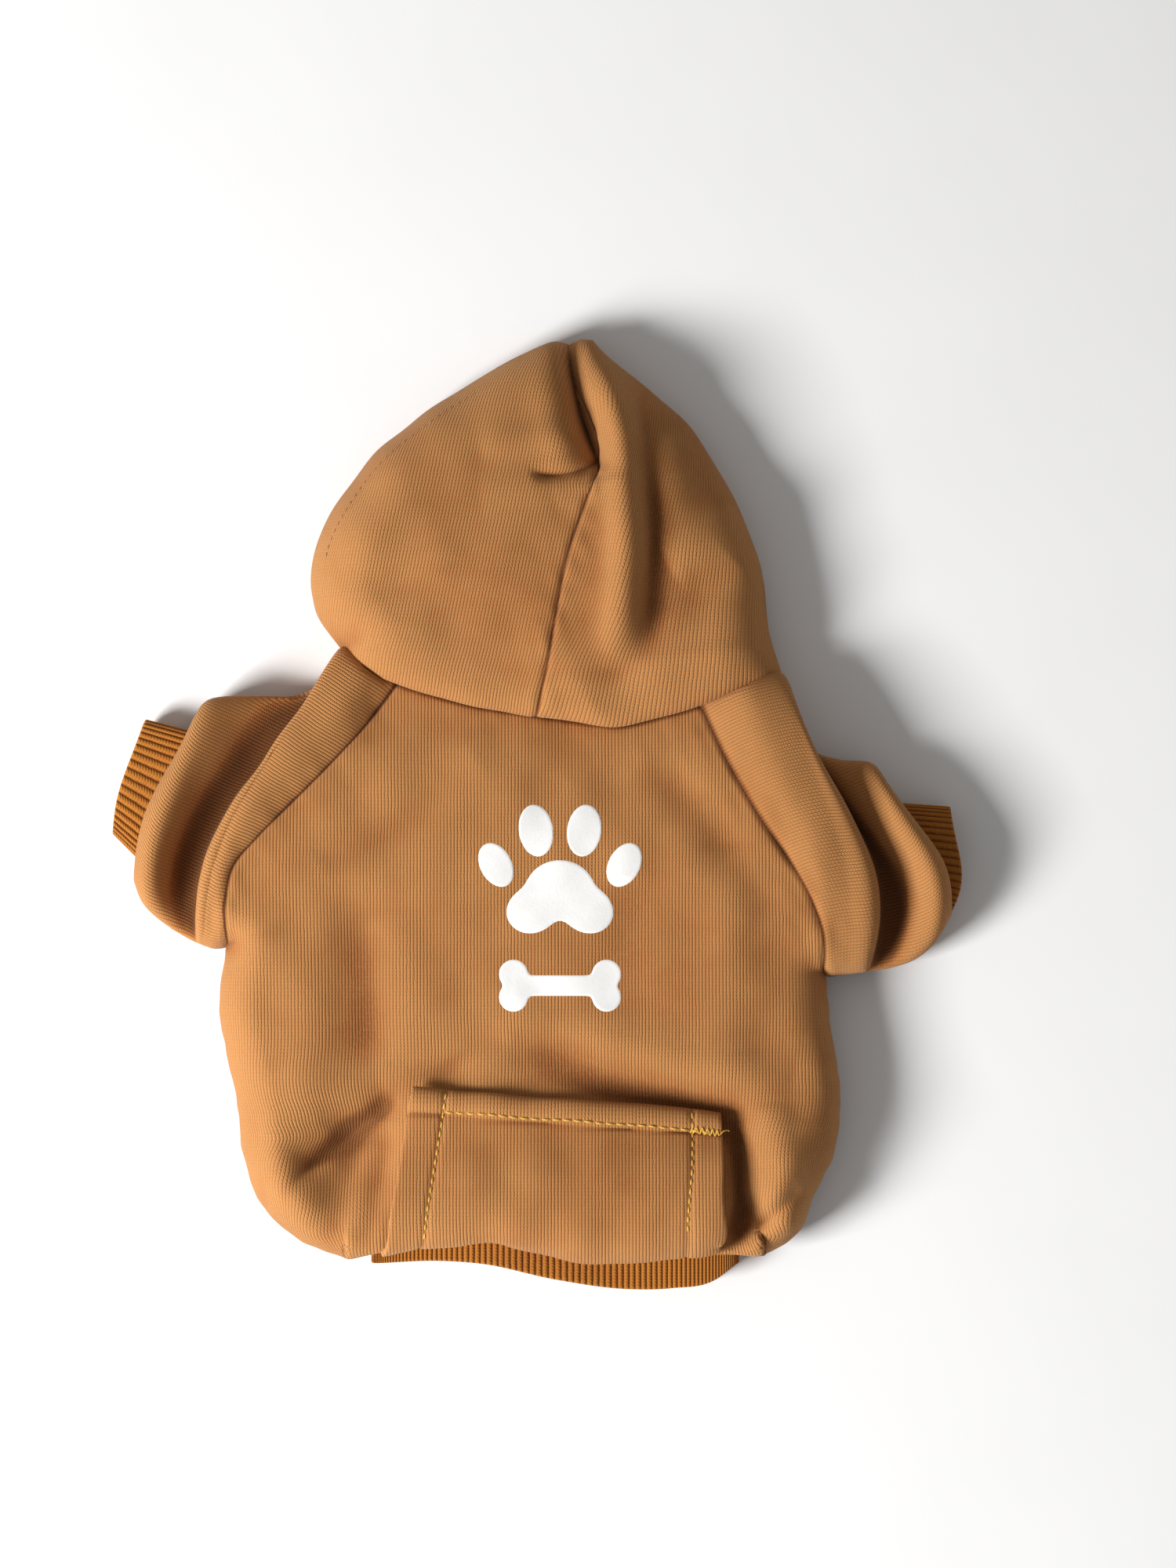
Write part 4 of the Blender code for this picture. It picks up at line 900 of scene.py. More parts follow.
def hood_half(side):
    """Rows from the neck to the top: seam to outline, and round it to the face opening."""
    edge = HOOD_LEFT if side == "left" else HOOD_RIGHT
    shift = np.array((0.0, NECK_GAP))
    over = close_to_edges(HOOD_COLUMNS)
    under = np.linspace(0.0, 1.0, HOOD_UNDER_COLUMNS + 1) ** UNDER_CROWDING
    rows = np.linspace(0.0, 1.0, HOOD_ROWS + 1) ** HOOD_CROWDING
    size = np.array((HOOD_WIDTH, HOOD_LENGTH))
    neck = neck_point(blend(NECK_ROWS["nape"], NECK_ENDS[side], over), NECK) + shift
    throat = neck_point(blend(THROAT_ENDS[side], THROAT_ROWS["middle"], under), THROAT) + shift
    throat[-1, 0] += SIGN[side] * NECK_GAP
    edge_row = np.concatenate([[0.0], edge["row"]])
    edge_x = np.concatenate([[neck[-1, 0]], edge["across"] * size[0]])
    edge_y = np.concatenate([[neck[-1, 1]], edge["along"] * size[1]])

    def outline_point(at):
        return np.stack([smooth(at, edge_row, edge_x), smooth(at, edge_row, edge_y)], axis=-1)

    outer = outline_point(rows)
    seam_x = smooth(rows, HOOD_SEAM["row"], HOOD_SEAM["across"]) * size[0]
    seam_y = smooth(rows, HOOD_SEAM["row"], HOOD_SEAM["along"]) * size[1]
    seam = np.stack([seam_x, seam_y], axis=-1) + shift * (1 - rows)[:, None]
    reach = smooth(rows, FACE_EDGE["row"], FACE_EDGE["reach"])[:, None]
    face = outer + reach * (throat[-1] - outer)
    fade = np.clip(1 - rows / NECK_FADE, 0.0, 1.0)[:, None, None] ** 2
    top = blend(seam[:, None, :], outer[:, None, :], over[None, :, None])
    top = top + fade * (neck - blend(neck[0], neck[-1], over[:, None]))
    below = blend(outer[:, None, :], face[:, None, :], under[None, :, None])
    below = below + fade * (throat - blend(throat[0], throat[-1], under[:, None]))
    line = outline_point(np.linspace(0.0, 1.0, OUTLINE_STEPS))
    away, _ = nearest(top[..., 0], top[..., 1], line)
    inside = rounding(away / HOOD_ROLL)
    from_shoulder = np.clip(rows / NECK_FADE, 0, 1)[:, None]
    edge_height = blend(SHOULDER_HEIGHT, HOOD_EDGE_HEIGHT, from_shoulder)
    loft = HOOD_LOFT * smooth(rows, HOOD_PROFILE["row"], HOOD_PROFILE["height"])[:, None]
    loft = loft + fold_height(top[..., 0], top[..., 1], HOOD_CREASES, *size, HOOD_FOLD)
    from_neck = np.linalg.norm(top - top[:1], axis=-1)
    top_z = blend(edge_height, loft, inside)
    top_z = top_z - HOOD_DROP * inside * (1 - rounding(from_neck / HOOD_TURN))
    bulge = np.sin(np.pi * np.clip(from_neck / (2 * HOOD_TURN), 0.0, 1.0))
    top[..., 1] -= HOOD_OVERHANG * bulge * inside
    inward = np.linalg.norm(below - below[:, :1, :], axis=-1)
    below_z = blend(edge_height, CLOTH / 2, rounding(inward / HOOD_UNDER_ROLL))
    return np.concatenate([np.dstack([top, top_z]), np.dstack([below, below_z])[:, 1:]], axis=1)


# %% Pocket
POCKET_SEWN_LEFT = 0.105  # share of the width at which each side's stitches run
POCKET_SEWN_RIGHT = 0.905
POCKET_TURN = 0.0062  # width of the turned fold along its top, down to its stitches
POCKET_DENT = 0.0007  # how deep its stitches draw it in
SIDE_DENT_WIDTH = 0.010  # of its width
TOP_DENT_WIDTH = 0.0009  # in metres
POCKET_RIDGE = 0.0017  # how far the fold above the sewn line stands up
# How far the pocket stands off the back, bottom to top, in shares of POCKET_ROOM
POCKET_DRAPE = table(
    "up room",
    (0.00, 0.00),
    (0.20, 0.62),
    (0.45, 0.95),
    (0.65, 0.75),
    (0.82, 0.30),
    (1.00, 0.05),
)


def pocket_sheet():
    """The pocket, standing off the back between its sewn top and the waist."""
    up = np.linspace(0.0, 1.0, POCKET_ROWS + 1)
    across = np.linspace(0.0, 1.0, POCKET_COLUMNS + 1)
    rows = np.linspace(0.0, 1.0, len(POCKET_EDGE["left_across"]))
    edges = {name: smooth(up, rows, values) for name, values in POCKET_EDGE.items()}
    left, right = on_body(edges, "left")[:, None, :], on_body(edges, "right")[:, None, :]
    plan = blend(left, right, across[None, :, None])
    fold = waist_fold(np.linspace(0.0, 1.0, OUTLINE_STEPS))
    hem = np.interp(plan[0, :, 0], fold[:, 0], fold[:, 1]) + POCKET_HEM
    plan[..., 1] += (hem - plan[0, :, 1]) * (1 - up[:, None]) ** 2
    x, y = plan[..., 0], plan[..., 1]

    def bridged(x, y):
        """Height of the back without its finer folds, which the pocket bridges."""
        return back_height(x, y, (BACK_FOLDS,))

    slope_x, slope_y = slopes(bridged, x, y, CLOTH / 2)
    normal = np.dstack([-slope_x, -slope_y, np.ones_like(x)])
    normal /= np.linalg.norm(normal, axis=-1, keepdims=True)
    room = smooth(up, POCKET_DRAPE["up"], POCKET_DRAPE["room"])[:, None]
    swell = blend(POCKET_SIDE_ROOM, 1.0, np.sin(np.pi * across) ** POCKET_FULLNESS)[None, :]
    off = CLOTH + POCKET_GAP + POCKET_ROOM * room * swell
    below_top = np.linalg.norm(plan - plan[-1:], axis=-1)
    ridge = np.clip(1 - below_top / POCKET_TURN, 0.0, 1.0)
    off = off + POCKET_RIDGE * np.sqrt(np.sin(np.pi * ridge))
    for sewn in (POCKET_SEWN_LEFT, POCKET_SEWN_RIGHT):
        beside = np.exp(-(((across - sewn) / SIDE_DENT_WIDTH) ** 2))[None, :]
        off = off - POCKET_DENT * beside
    off = off - POCKET_DENT * np.exp(-(((below_top - POCKET_TURN) / TOP_DENT_WIDTH) ** 2))
    return np.dstack([x, y, bridged(x, y)]) + normal * off[..., None]


# %% [markdown]
# # From grids to cloth
# Solidify could thicken a sheet, but at a seam it would pull two panels apart. Instead the
# outward directions are summed over all panels, so both sides of a seam share them. Each
# point also gets its place in the flat cloth, measured along the surface, for the knit.

# %% Directions and measures
def face_normals(grid):
    """A direction for each point of a grid, summed over the faces round it."""
    total = np.zeros_like(grid)
    a, b, c, d = grid[:-1, :-1], grid[:-1, 1:], grid[1:, 1:], grid[1:, :-1]
    cross = np.cross(c - a, d - b)
    total[:-1, :-1] += cross
    total[:-1, 1:] += cross
    total[1:, 1:] += cross
    total[1:, :-1] += cross
    return total


def merge_keys(grid):
    return np.round(grid / MERGE).astype(np.int64)


def shared_normals(grids):
    """Outward directions, the same for every panel that has the point."""
    names = list(grids)
    keys = np.concatenate([merge_keys(grids[name]).reshape(-1, 3) for name in names])
    found = np.concatenate([face_normals(grids[name]).reshape(-1, 3) for name in names])
    _, index = np.unique(keys, axis=0, return_inverse=True)
    index = index.ravel()
    sums = np.zeros((index.max() + 1, 3))
    np.add.at(sums, index, found)
    sums /= np.maximum(np.linalg.norm(sums, axis=1, keepdims=True), TINY)
    normals, start = {}, 0
    for name in names:
        size = grids[name].shape[0] * grids[name].shape[1]
        normals[name] = sums[index[start : start + size]].reshape(grids[name].shape)
        start += size
    return normals


def steps_along(grid, axis):
    """Length of each step along rows (axis 1) or columns (axis 0), with none before the first."""
    lengths = np.linalg.norm(np.diff(grid, axis=axis), axis=-1)
    pad = [(0, 0), (0, 0)]
    pad[axis] = (1, 0)
    return np.pad(lengths, pad)


def edge_distance(grid, edge):
    """How far each point lies from one edge of its grid, along the cloth."""
    axis = 1 if edge in ("left", "right") else 0
    reach = np.cumsum(steps_along(grid, axis), axis=axis)
    if edge in ("right", "top"):
        reach = reach.take([-1], axis=axis) - reach
    return reach


# How the knit's columns lean to the right in each half of the hood, and fan out from its seam
GRAIN = {"hood_left": (0.21, 0.0), "hood_right": (0.36, 5.0)}


def flat_place(grid, kind):
    """Where each point lay in the flat cloth: across the knit's columns, and along them."""
    across = np.cumsum(steps_along(grid, 1), axis=1)
    along = np.cumsum(steps_along(grid, 0), axis=0)
    if kind == "loop":
        return np.dstack([across - across.mean(axis=1, keepdims=True), along])
    plan = grid.copy()
    plan[..., 2] = 0.0
    middle_column, middle_row = grid.shape[1] // 2, grid.shape[0] // 2
    extra_x = across - np.cumsum(steps_along(plan, 1), axis=1)
    extra_y = along - np.cumsum(steps_along(plan, 0), axis=0)
    extra_x = extra_x - extra_x[:, [middle_column]]
    extra_y = extra_y - extra_y[[middle_row]]
    right = np.sign(plan[:, -1:, 0] - plan[:, :1, 0])
    up = np.sign(plan[-1:, :, 1] - plan[:1, :, 1])
    flat_x, flat_y = plan[..., 0] + right * extra_x, plan[..., 1] + up * extra_y
    lean, fan = GRAIN.get(kind, (0.0, 0.0))
    up_the_hood = flat_y - HOOD_LENGTH / 2
    flat_x = (flat_x - lean * up_the_hood) / (1 - fan * up_the_hood)
    return np.dstack([flat_x, flat_y])


def hold_back(grid, normals, edge, distance):
    """Draw one edge of a panel back from its seam, along the cloth."""
    rim = {"left": np.s_[:, 0], "right": np.s_[:, -1], "bottom": np.s_[0], "top": np.s_[-1]}[edge]
    run = np.gradient(grid[rim], axis=0)
    inward = np.cross(run, normals[rim])
    if edge in ("right", "bottom"):
        inward = -inward
    inward /= np.maximum(np.linalg.norm(inward, axis=-1, keepdims=True), TINY)
    moved = grid.copy()
    moved[rim] = grid[rim] + inward * distance
    return moved


def square_to(normals, rows, axis):
    """Turn the directions at an edge square to the seam that it butts against."""
    turned = normals.copy()
    part = turned[rows]
    part = part - (part @ axis)[..., None] * axis
    turned[rows] = part / np.linalg.norm(part, axis=-1, keepdims=True)
    return turned


def loop_axis(ring_points):
    """Level direction square to a loop's line from head to tail."""
    line = ring_points[len(ring_points) // 2] - ring_points[0]
    return np.array((-line[1], line[0], 0.0)) / np.hypot(line[0], line[1])


# %% Sewing a grid into a piece of cloth
RIM_STEPS = 4
RIM_BULGE = 0.5  # how far a rim rounds out, of half the thickness


def open_edges(ids):
    """The steps along a grid's outside that no other step of it retraces."""
    loop = np.concatenate([ids[0, :-1], ids[:-1, -1], ids[-1, :0:-1], ids[:0:-1, 0]])
    pairs = list(zip(loop, np.roll(loop, -1)))
    present = set(pairs)
    return [(a, b) for a, b in pairs if a != b and (b, a) not in present]


def squares(values):
    """The values at the four corners of each square of a grid, in order round it."""
    corners = (values[:-1, :-1], values[:-1, 1:], values[1:, 1:], values[1:, :-1])
    return np.stack(corners, axis=-1)


def put_in_scene(name, data):
    made = bpy.data.objects.new(name, data)
    bpy.context.scene.collection.objects.link(made)
    return made


def sew(name, grid, normals, thickness, flat, hollow, material, pile):
    """One closed piece of cloth: an outer and an inner face, and rounded rims."""
    rows, columns = grid.shape[:2]
    _, first, ids = np.unique(
        merge_keys(grid).reshape(-1, 3), axis=0, return_index=True, return_inverse=True
    )
    ids = ids.reshape(rows, columns)
    middle = grid.reshape(-1, 3)[first]
    out = normals.reshape(-1, 3)[first]
    lift = np.broadcast_to(pile, (rows, columns)).reshape(-1)[first]
    half = thickness / 2
    count = len(first)
    outer = middle + out * (half + lift)[:, None]
    inner = middle - out * half
    corners = squares(ids).reshape(-1, 4)
    spots = squares(np.arange(rows * columns).reshape(rows, columns)).reshape(-1, 4)
    verts = [outer, inner]
    faces = [tuple(face) for face in corners]
    faces += [tuple(face[::-1] + count) for face in corners]
    sources = [tuple(spot) for spot in spots] + [tuple(spot[::-1]) for spot in spots]
    edges = open_edges(ids)
    reach = {}
    for a, b in edges:
        side = np.cross(middle[b] - middle[a], out[a])
        for end in (a, b):
            reach[end] = reach.get(end, 0) + side
    arcs = {}
    total = 2 * count
    for end, side in reach.items():
        side = side / max(np.linalg.norm(side), TINY)
        arc = [end]
        for step in range(1, RIM_STEPS):
            turn = np.pi * step / RIM_STEPS
            rise = out[end] * (half + (lift[end] if turn < np.pi / 2 else 0.0)) * np.cos(turn)
            verts.append((middle[end] + rise + side * half * RIM_BULGE * np.sin(turn))[None])
            arc.append(total)
            total += 1
        arcs[end] = arc + [end + count]
    for a, b in edges:
        for step in range(RIM_STEPS):
            faces.append((arcs[b][step], arcs[a][step], arcs[a][step + 1], arcs[b][step + 1]))
            sources.append((first[b], first[a], first[a], first[b]))
    data = bpy.data.meshes.new(name)
    data.from_pydata(np.concatenate(verts).astype(np.float32).tolist(), [], faces)
    sources = np.array(sources).ravel()
    flat_layer = data.uv_layers.new(name="flat_cloth")
    flat_layer.data.foreach_set("uv", flat.reshape(-1, 2)[sources].astype(np.float32).ravel())
    # the hollow measure, which the material turns into painted shade
    tone = data.attributes.new("hollow", "FLOAT", "CORNER")
    tone.data.foreach_set("value", hollow.ravel()[sources].astype(np.float32))
    data.validate()
    data.shade_smooth()
    data.materials.append(material)
    return put_in_scene(name, data)


# %% Relief and shade
SEAM_SHADE = 0.0005  # how far the painted shadow of a seam reaches
SINK_RANGE = 0.0026  # from the top of a swell to the bottom of a hollow
SINK_REACH = 90  # rounds of smoothing that give the surroundings
VALLEY_REACH = 400  # the same for the valleys of the sleeves
VALLEY_SHADE = 0.20  # how much painted shade those get


def edge_dip(grid, edges):
    """How much a seam draws the cloth in along some edges, with a fine pucker beside it."""
    depth = np.zeros(grid.shape[:2])
    for edge in edges:
        away = edge_distance(grid, edge)
        depth -= SEAM_DIP * np.exp(-((away / SEAM_WIDTH) ** 2))
        depth += ripple(grid, **PUCKER) * np.exp(-away / PUCKER_REACH)
    return depth


def seam_shade(grid, edges):
    """1 at the seams, where painted shadow is darkest, and 0 a little away from them."""
    away = [edge_distance(grid, edge) for edge in edges]
    return np.exp(-((np.min(away, axis=0) / SEAM_SHADE) ** 2)) if away else 0.0


def sunk(grid, reach):
    """From 0 on a swell to 1 in a hollow: how far each point lies below its surroundings."""
    height = grid[..., 2]
    level = height.copy()
    for _ in range(reach):
        beside = level[:-2, 1:-1] + level[2:, 1:-1] + level[1:-1, :-2] + level[1:-1, 2:]
        level[1:-1, 1:-1] = beside / 4
    return np.clip(0.5 + (level - height) / SINK_RANGE, 0.0, 1.2)


# %% [markdown]
# # Cloth materials
# The knit is a repeat of small V-shaped loops, about one to a millimetre. A photo of knit
# would be the quick way, but a few math nodes on the flat cloth's own measures give loops of
# the true size that follow every fold. One node group makes them for all the cloths.

# %% Node helpers
def plug(tree, node, inputs):
    """Set a node's inputs from values, or link them to other nodes' outputs."""
    for key, value in dict(inputs).items():
        if isinstance(value, bpy.types.NodeSocket):
            tree.links.new(value, node.inputs[key])
        else:
            node.inputs[key].default_value = value
    return node


def add(tree, kind, inputs=(), **settings):
    """A node with its settings and its inputs."""
    made = tree.nodes.new(kind)
    for key, value in settings.items():
        setattr(made, key, value)
    return plug(tree, made, inputs)


def calc(tree, operation, *values, clamp=False):
    """One step of arithmetic."""
    inputs = enumerate(values)
    made = add(tree, "ShaderNodeMath", inputs, operation=operation, use_clamp=clamp)
    return made.outputs[0]


def above(tree, value, level, factor, clamp=False):
    """How far a value lies above a level, times a factor."""
    return calc(tree, "MULTIPLY", calc(tree, "SUBTRACT", value, level), factor, clamp=clamp)


def noise(tree, place, scale, detail, roughness=0.5):
    """Cloudy noise at a place, about 0.5."""
    inputs = {"Vector": place, "Scale": scale, "Detail": detail, "Roughness": roughness}
    return add(tree, "ShaderNodeTexNoise", inputs).outputs["Fac"]


def mix(tree, share, first, second, blend_type="MIX"):
    """Two colours mixed by a share."""
    made = add(tree, "ShaderNodeMix", data_type="RGBA", blend_type=blend_type)
    return plug(tree, made, {0: share, 6: first, 7: second}).outputs[2]


def new_material(name):
    """A material, with its tree and its shader."""
    material = bpy.data.materials.new(name)
    material.use_nodes = True
    return material, material.node_tree, material.node_tree.nodes["Principled BSDF"]


def group(name, inputs, outputs):
    """An empty node group with named sockets."""
    tree = bpy.data.node_groups.new(name, "ShaderNodeTree")
    for label, kind, default in inputs:
        socket = tree.interface.new_socket(label, in_out="INPUT", socket_type=kind)
        if default is not None:
            socket.default_value = default
    for label, kind in outputs:
        tree.interface.new_socket(label, in_out="OUTPUT", socket_type=kind)
    return tree, tree.nodes.new("NodeGroupInput"), tree.nodes.new("NodeGroupOutput")


# %% The knit's loops
def knit_group():
    """Height and gaps of plain knit: columns of V-shaped loops."""
    tree, given, result = group(
        "knit_loops",
        [
            ("Flat cloth", "NodeSocketVector", None),
            ("Column width", "NodeSocketFloat", 0.001),
            ("Row height", "NodeSocketFloat", 0.001),
            ("Unevenness", "NodeSocketFloat", 0.3),
        ],
        [(label, "NodeSocketFloat") for label in ("Height", "Gaps", "Fibres")],
    )
    flat, column, row, unevenness = given.outputs[:4]
    wobble = above(tree, noise(tree, flat, 420.0, 2.0), 0.5, unevenness)
    split = add(tree, "ShaderNodeSeparateXYZ", {"Vector": flat}).outputs
    across = calc(tree, "ADD", calc(tree, "DIVIDE", split[0], column), wobble)
    along = calc(tree, "ADD", calc(tree, "DIVIDE", split[1], row), wobble)
    side = calc(tree, "ABSOLUTE", calc(tree, "SUBTRACT", calc(tree, "FRACT", across), 0.5))
    leg = calc(tree, "POWER", calc(tree, "MULTIPLY", side, 2.0), 3.0)
    leg = calc(tree, "SUBTRACT", 1.0, leg)
    slant = calc(tree, "FRACT", calc(tree, "ADD", along, calc(tree, "MULTIPLY", side, 1.3)))
    strand = calc(tree, "POWER", calc(tree, "SINE", calc(tree, "MULTIPLY", slant, np.pi)), 0.6)
    strand = calc(tree, "ADD", calc(tree, "MULTIPLY", strand, 0.55), 0.45)
    fine = noise(tree, flat, 5200.0, 3.0)
    fuzz = above(tree, fine, 0.5, 0.35)
    height = calc(tree, "ADD", calc(tree, "MULTIPLY", leg, strand), fuzz)
    gaps = calc(tree, "SUBTRACT", 1.0, calc(tree, "MULTIPLY", height, 1.5), clamp=True)
    for index, value in enumerate((height, gaps, fine)):
        tree.links.new(value, result.inputs[index])
    return tree


def dye_and_painted_shade_group():
    """Uneven dye in random clouds, and painted shade: redder in hollows, dark in seams and gaps."""
    tree, given, result = group(
        "cloth_dye_and_painted_shade",
        [
            ("Light", "NodeSocketColor", None),
            ("Red", "NodeSocketColor", None),
            ("Olive", "NodeSocketColor", None),
            ("Hollow", "NodeSocketFloat", 0.5),
            ("Gaps", "NodeSocketFloat", 0.0),
            ("Fibres", "NodeSocketFloat", 0.5),
        ],
        [("Color", "NodeSocketColor")],
    )
    light, red, olive, hollow, gaps, fibres = given.outputs[:6]
    place = add(tree, "ShaderNodeTexCoord").outputs["Object"]
    clouds = above(tree, noise(tree, place, 26.0, 3.0, 0.6), 0.36, 1.7)
    streaks = above(tree, noise(tree, place, 160.0, 2.0), 0.5, 0.5)
    # painted shade: the further a point lies below its surroundings, the redder it is
    deep = above(tree, hollow, 0.5, 1.1)
    share = calc(tree, "ADD", calc(tree, "ADD", clouds, streaks), deep, clamp=True)
    heather = above(tree, noise(tree, place, 1100.0, 2.0), 0.46, 2.6, clamp=True)
    color = mix(tree, heather, mix(tree, share, light, red), olive)
    # painted shade: near black in deep hollows, at seams and in rib grooves, and some in the knit's
    # gaps
    seam = above(tree, hollow, 0.74, 1.15, clamp=True)
    dark = calc(tree, "ADD", calc(tree, "MULTIPLY", gaps, 0.34), seam, clamp=True)
    color = mix(tree, dark, color, (0.09, 0.03, 0.008, 1.0))
    speck = calc(tree, "ADD", 0.72, calc(tree, "MULTIPLY", fibres, 0.56))
    grey = add(tree, "ShaderNodeCombineColor", {0: speck, 1: speck, 2: speck}).outputs[0]
    tree.links.new(mix(tree, 1.0, color, grey, "MULTIPLY"), result.inputs[0])
    return tree


KNIT = knit_group()
DYE_AND_SHADE = dye_and_painted_shade_group()
print("node groups:", KNIT.name, DYE_AND_SHADE.name)


# %% Fleece and rib
def cloth_material(name, light, red, olive, column, row, depth):
    """Knit cloth of a given loop size and colours."""
    material, tree, shader = new_material(name)
    flat = add(tree, "ShaderNodeUVMap", uv_map="flat_cloth").outputs[0]
    # how sunk the cloth lies, which the tone turns into painted shade
    hollow = add(tree, "ShaderNodeAttribute", attribute_name="hollow").outputs["Fac"]
    loops = {"Flat cloth": flat, "Column width": column, "Row height": row}
    knit = add(tree, "ShaderNodeGroup", loops, node_tree=KNIT).outputs
    dyes = {"Light": light, "Red": red, "Olive": olive, "Hollow": hollow}
    dyes.update({"Gaps": knit["Gaps"], "Fibres": knit["Fibres"]})
    tone = add(tree, "ShaderNodeGroup", dyes, node_tree=DYE_AND_SHADE)
    relief = {"Height": knit["Height"], "Strength": 1.0, "Distance": depth}
    looks = {
        "Base Color": tone.outputs["Color"],
        "Roughness": calc(tree, "ADD", 0.8, calc(tree, "MULTIPLY", knit["Fibres"], 0.15)),
        "Normal": add(tree, "ShaderNodeBump", relief).outputs["Normal"],
        "Sheen Weight": 0.15,
        "Sheen Roughness": 0.45,
        "Sheen Tint": (1.0, 0.80, 0.52, 1.0),
        "Specular IOR Level": 0.18,
    }
    plug(tree, shader, looks)
    return material


# RUSSET and DEEP_RUST are the redder dye clouds and also the painted shade of hollows and rib grooves
CARAMEL = (0.49, 0.212, 0.068, 1.0)
RUSSET = (0.36, 0.120, 0.032, 1.0)
OLIVE = (0.40, 0.205, 0.065, 1.0)
RUST = (0.43, 0.150, 0.021, 1.0)
DEEP_RUST = (0.26, 0.073, 0.011, 1.0)
OLIVE_RUST = (0.38, 0.17, 0.024, 1.0)
LOOP = 0.000975  # width and height of a loop of the fleece
RIB_LOOP = {"wide": 0.0011, "high": 0.0009}
FLEECE = cloth_material("caramel_fleece_knit", CARAMEL, RUSSET, OLIVE, LOOP, LOOP, 0.00022)
RIB = cloth_material("rust_rib_knit", RUST, DEEP_RUST, OLIVE_RUST, *RIB_LOOP.values(), 0.0003)
print("materials:", FLEECE.name, RIB.name)

# %% [markdown]
# # Dressing the solids
# All the grids are made first, because their directions are shared. Then each is drawn in
# at its seams, given its slow waves and its ribs, sewn, and put in its solid's place.

# %% Make the grids
left_rings, right_rings = sleeve("left"), sleeve("right")
grids = {
    "back_panel": back_panel(),
    "belly_panel": belly_panel()[:, ::-1],
    "left_sleeve": left_rings[::-1],
    "right_sleeve": right_rings,
    "hood_left": hood_half("left")[:, ::-1],
    "hood_right": hood_half("right"),
    "left_cuff": cuff("left", left_rings)[::-1],
    "right_cuff": cuff("right", right_rings),
    "waist_rib": waist_rib()[::-1],
    "pocket": pocket_sheet(),
}
normals = shared_normals(grids)
print("grid points:", sum(grid.shape[0] * grid.shape[1] for grid in grids.values()))

# %% Directions at butted edges
ALONG_Y = np.array((0.0, 1.0, 0.0))
NECK_RINGS = OPEN_RINGS * RING_STEPS
butts = (
    ("back_panel", np.s_[-1], ALONG_Y),
    ("belly_panel", np.s_[-1], ALONG_Y),
    ("belly_panel", np.s_[0, 1:-1], ALONG_Y),
    ("left_sleeve", np.s_[-1 - NECK_RINGS :, [0, -1]], ALONG_Y),
    ("right_sleeve", np.s_[: NECK_RINGS + 1, [0, -1]], ALONG_Y),
    ("hood_left", np.s_[0], ALONG_Y),
    ("hood_right", np.s_[0], ALONG_Y),
    ("left_sleeve", np.s_[0], loop_axis(left_rings[-1])),
    ("right_sleeve", np.s_[-1], loop_axis(right_rings[-1])),
)
for name, rows, axis in butts:
    normals[name] = square_to(normals[name], rows, axis)

# %% Draw in the seams and sew
SEWN_EDGES = {
    "back_panel": ("left", "right", "top"),
    "belly_panel": ("left", "right"),
    "left_sleeve": ("top",),
    "right_sleeve": ("bottom",),
    "hood_left": ("right",),
    "hood_right": ("left",),
}
HELD_EDGES = {**SEWN_EDGES, "back_panel": ("left", "right"), "left_sleeve": (), "right_sleeve": ()}
RIBBED = {"left_cuff": CUFF_RIBS, "right_cuff": CUFF_RIBS, "waist_rib": WAIST_RIBS}
RIB_DEPTH = {"left_cuff": 0.00050, "right_cuff": 0.00050, "waist_rib": 0.00036}
surfaces = {}


def rib_relief(name, grid, flat):
    """The grid as it is, with its ribs' depth, their grooves' painted shade and their loops in line.
    """
    ribs = np.arange(grid.shape[1]) / RIB_STEPS
    wave = np.abs(np.sin(np.pi * ribs)) ** 0.8
    flat[..., 0] = ribs * RIB_LOOP["wide"]
    pile = np.broadcast_to(RIB_DEPTH[name] * (wave - 1.0), grid.shape[:2])
    # painted shade: 1 in the grooves between ribs and 0.2 on their crests
    return grid, pile, np.broadcast_to(1.0 - 0.8 * wave, grid.shape[:2])


def fleece_relief(name, grid):
    """The grid with its seams drawn in and its slow waves, an even depth, and its painted shade."""
    edges = SEWN_EDGES.get(name, ())
    relief = edge_dip(grid, edges)
    if name != "belly_panel":
        relief = relief + ripple(grid, **SLOW_WAVE)
    # how sunk each point lies, and its seams, for the painted shade
    hollow = sunk(grid, SINK_REACH) + seam_shade(grid, edges)
    if name.endswith("sleeve"):
        # more painted shade in the sleeves' deep valleys
        hollow = hollow + VALLEY_SHADE * sunk(grid, VALLEY_REACH)
    moved = grid + normals[name] * relief[..., None]
    moved[..., 2] = np.maximum(moved[..., 2], CLOTH / 2)
    return moved, np.zeros(grid.shape[:2]), hollow


for name, grid in grids.items():
    for edge in HELD_EDGES.get(name, ()):
        grid = hold_back(grid, normals[name], edge, SEAM_GAP / 2)
    flat = flat_place(grid, "loop" if name.endswith(("sleeve", "cuff")) else name)
    if name in RIBBED:
        thick, material = RIB_CLOTH, RIB
        grid, pile, hollow = rib_relief(name, grid, flat)
    else:
        thick, material = CLOTH, FLEECE
        grid, pile, hollow = fleece_relief(name, grid)
    grid = grid + NAPE_PLACE
    piece = sew(name + "_cloth", grid, normals[name], thick, flat, hollow, material, pile)
    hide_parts(name)
    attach(piece, "root")
    surfaces[name] = grid + normals[name] * thick / 2
    print(f"{piece.name}: {len(piece.data.polygons)} faces")

# %% [markdown]
# # The print on the back
# A white vinyl motif is pressed onto the back: a large paw over a small bone. It is drawn as
# a distance to soft shapes, cut out of a fine sheet of squares, and laid onto the cloth. An
# image texture could carry it, but a sheet has the print's own thickness and edge.

# %% Laying things on the cloth
LOOK_FROM = 0.2  # a height well above the garment


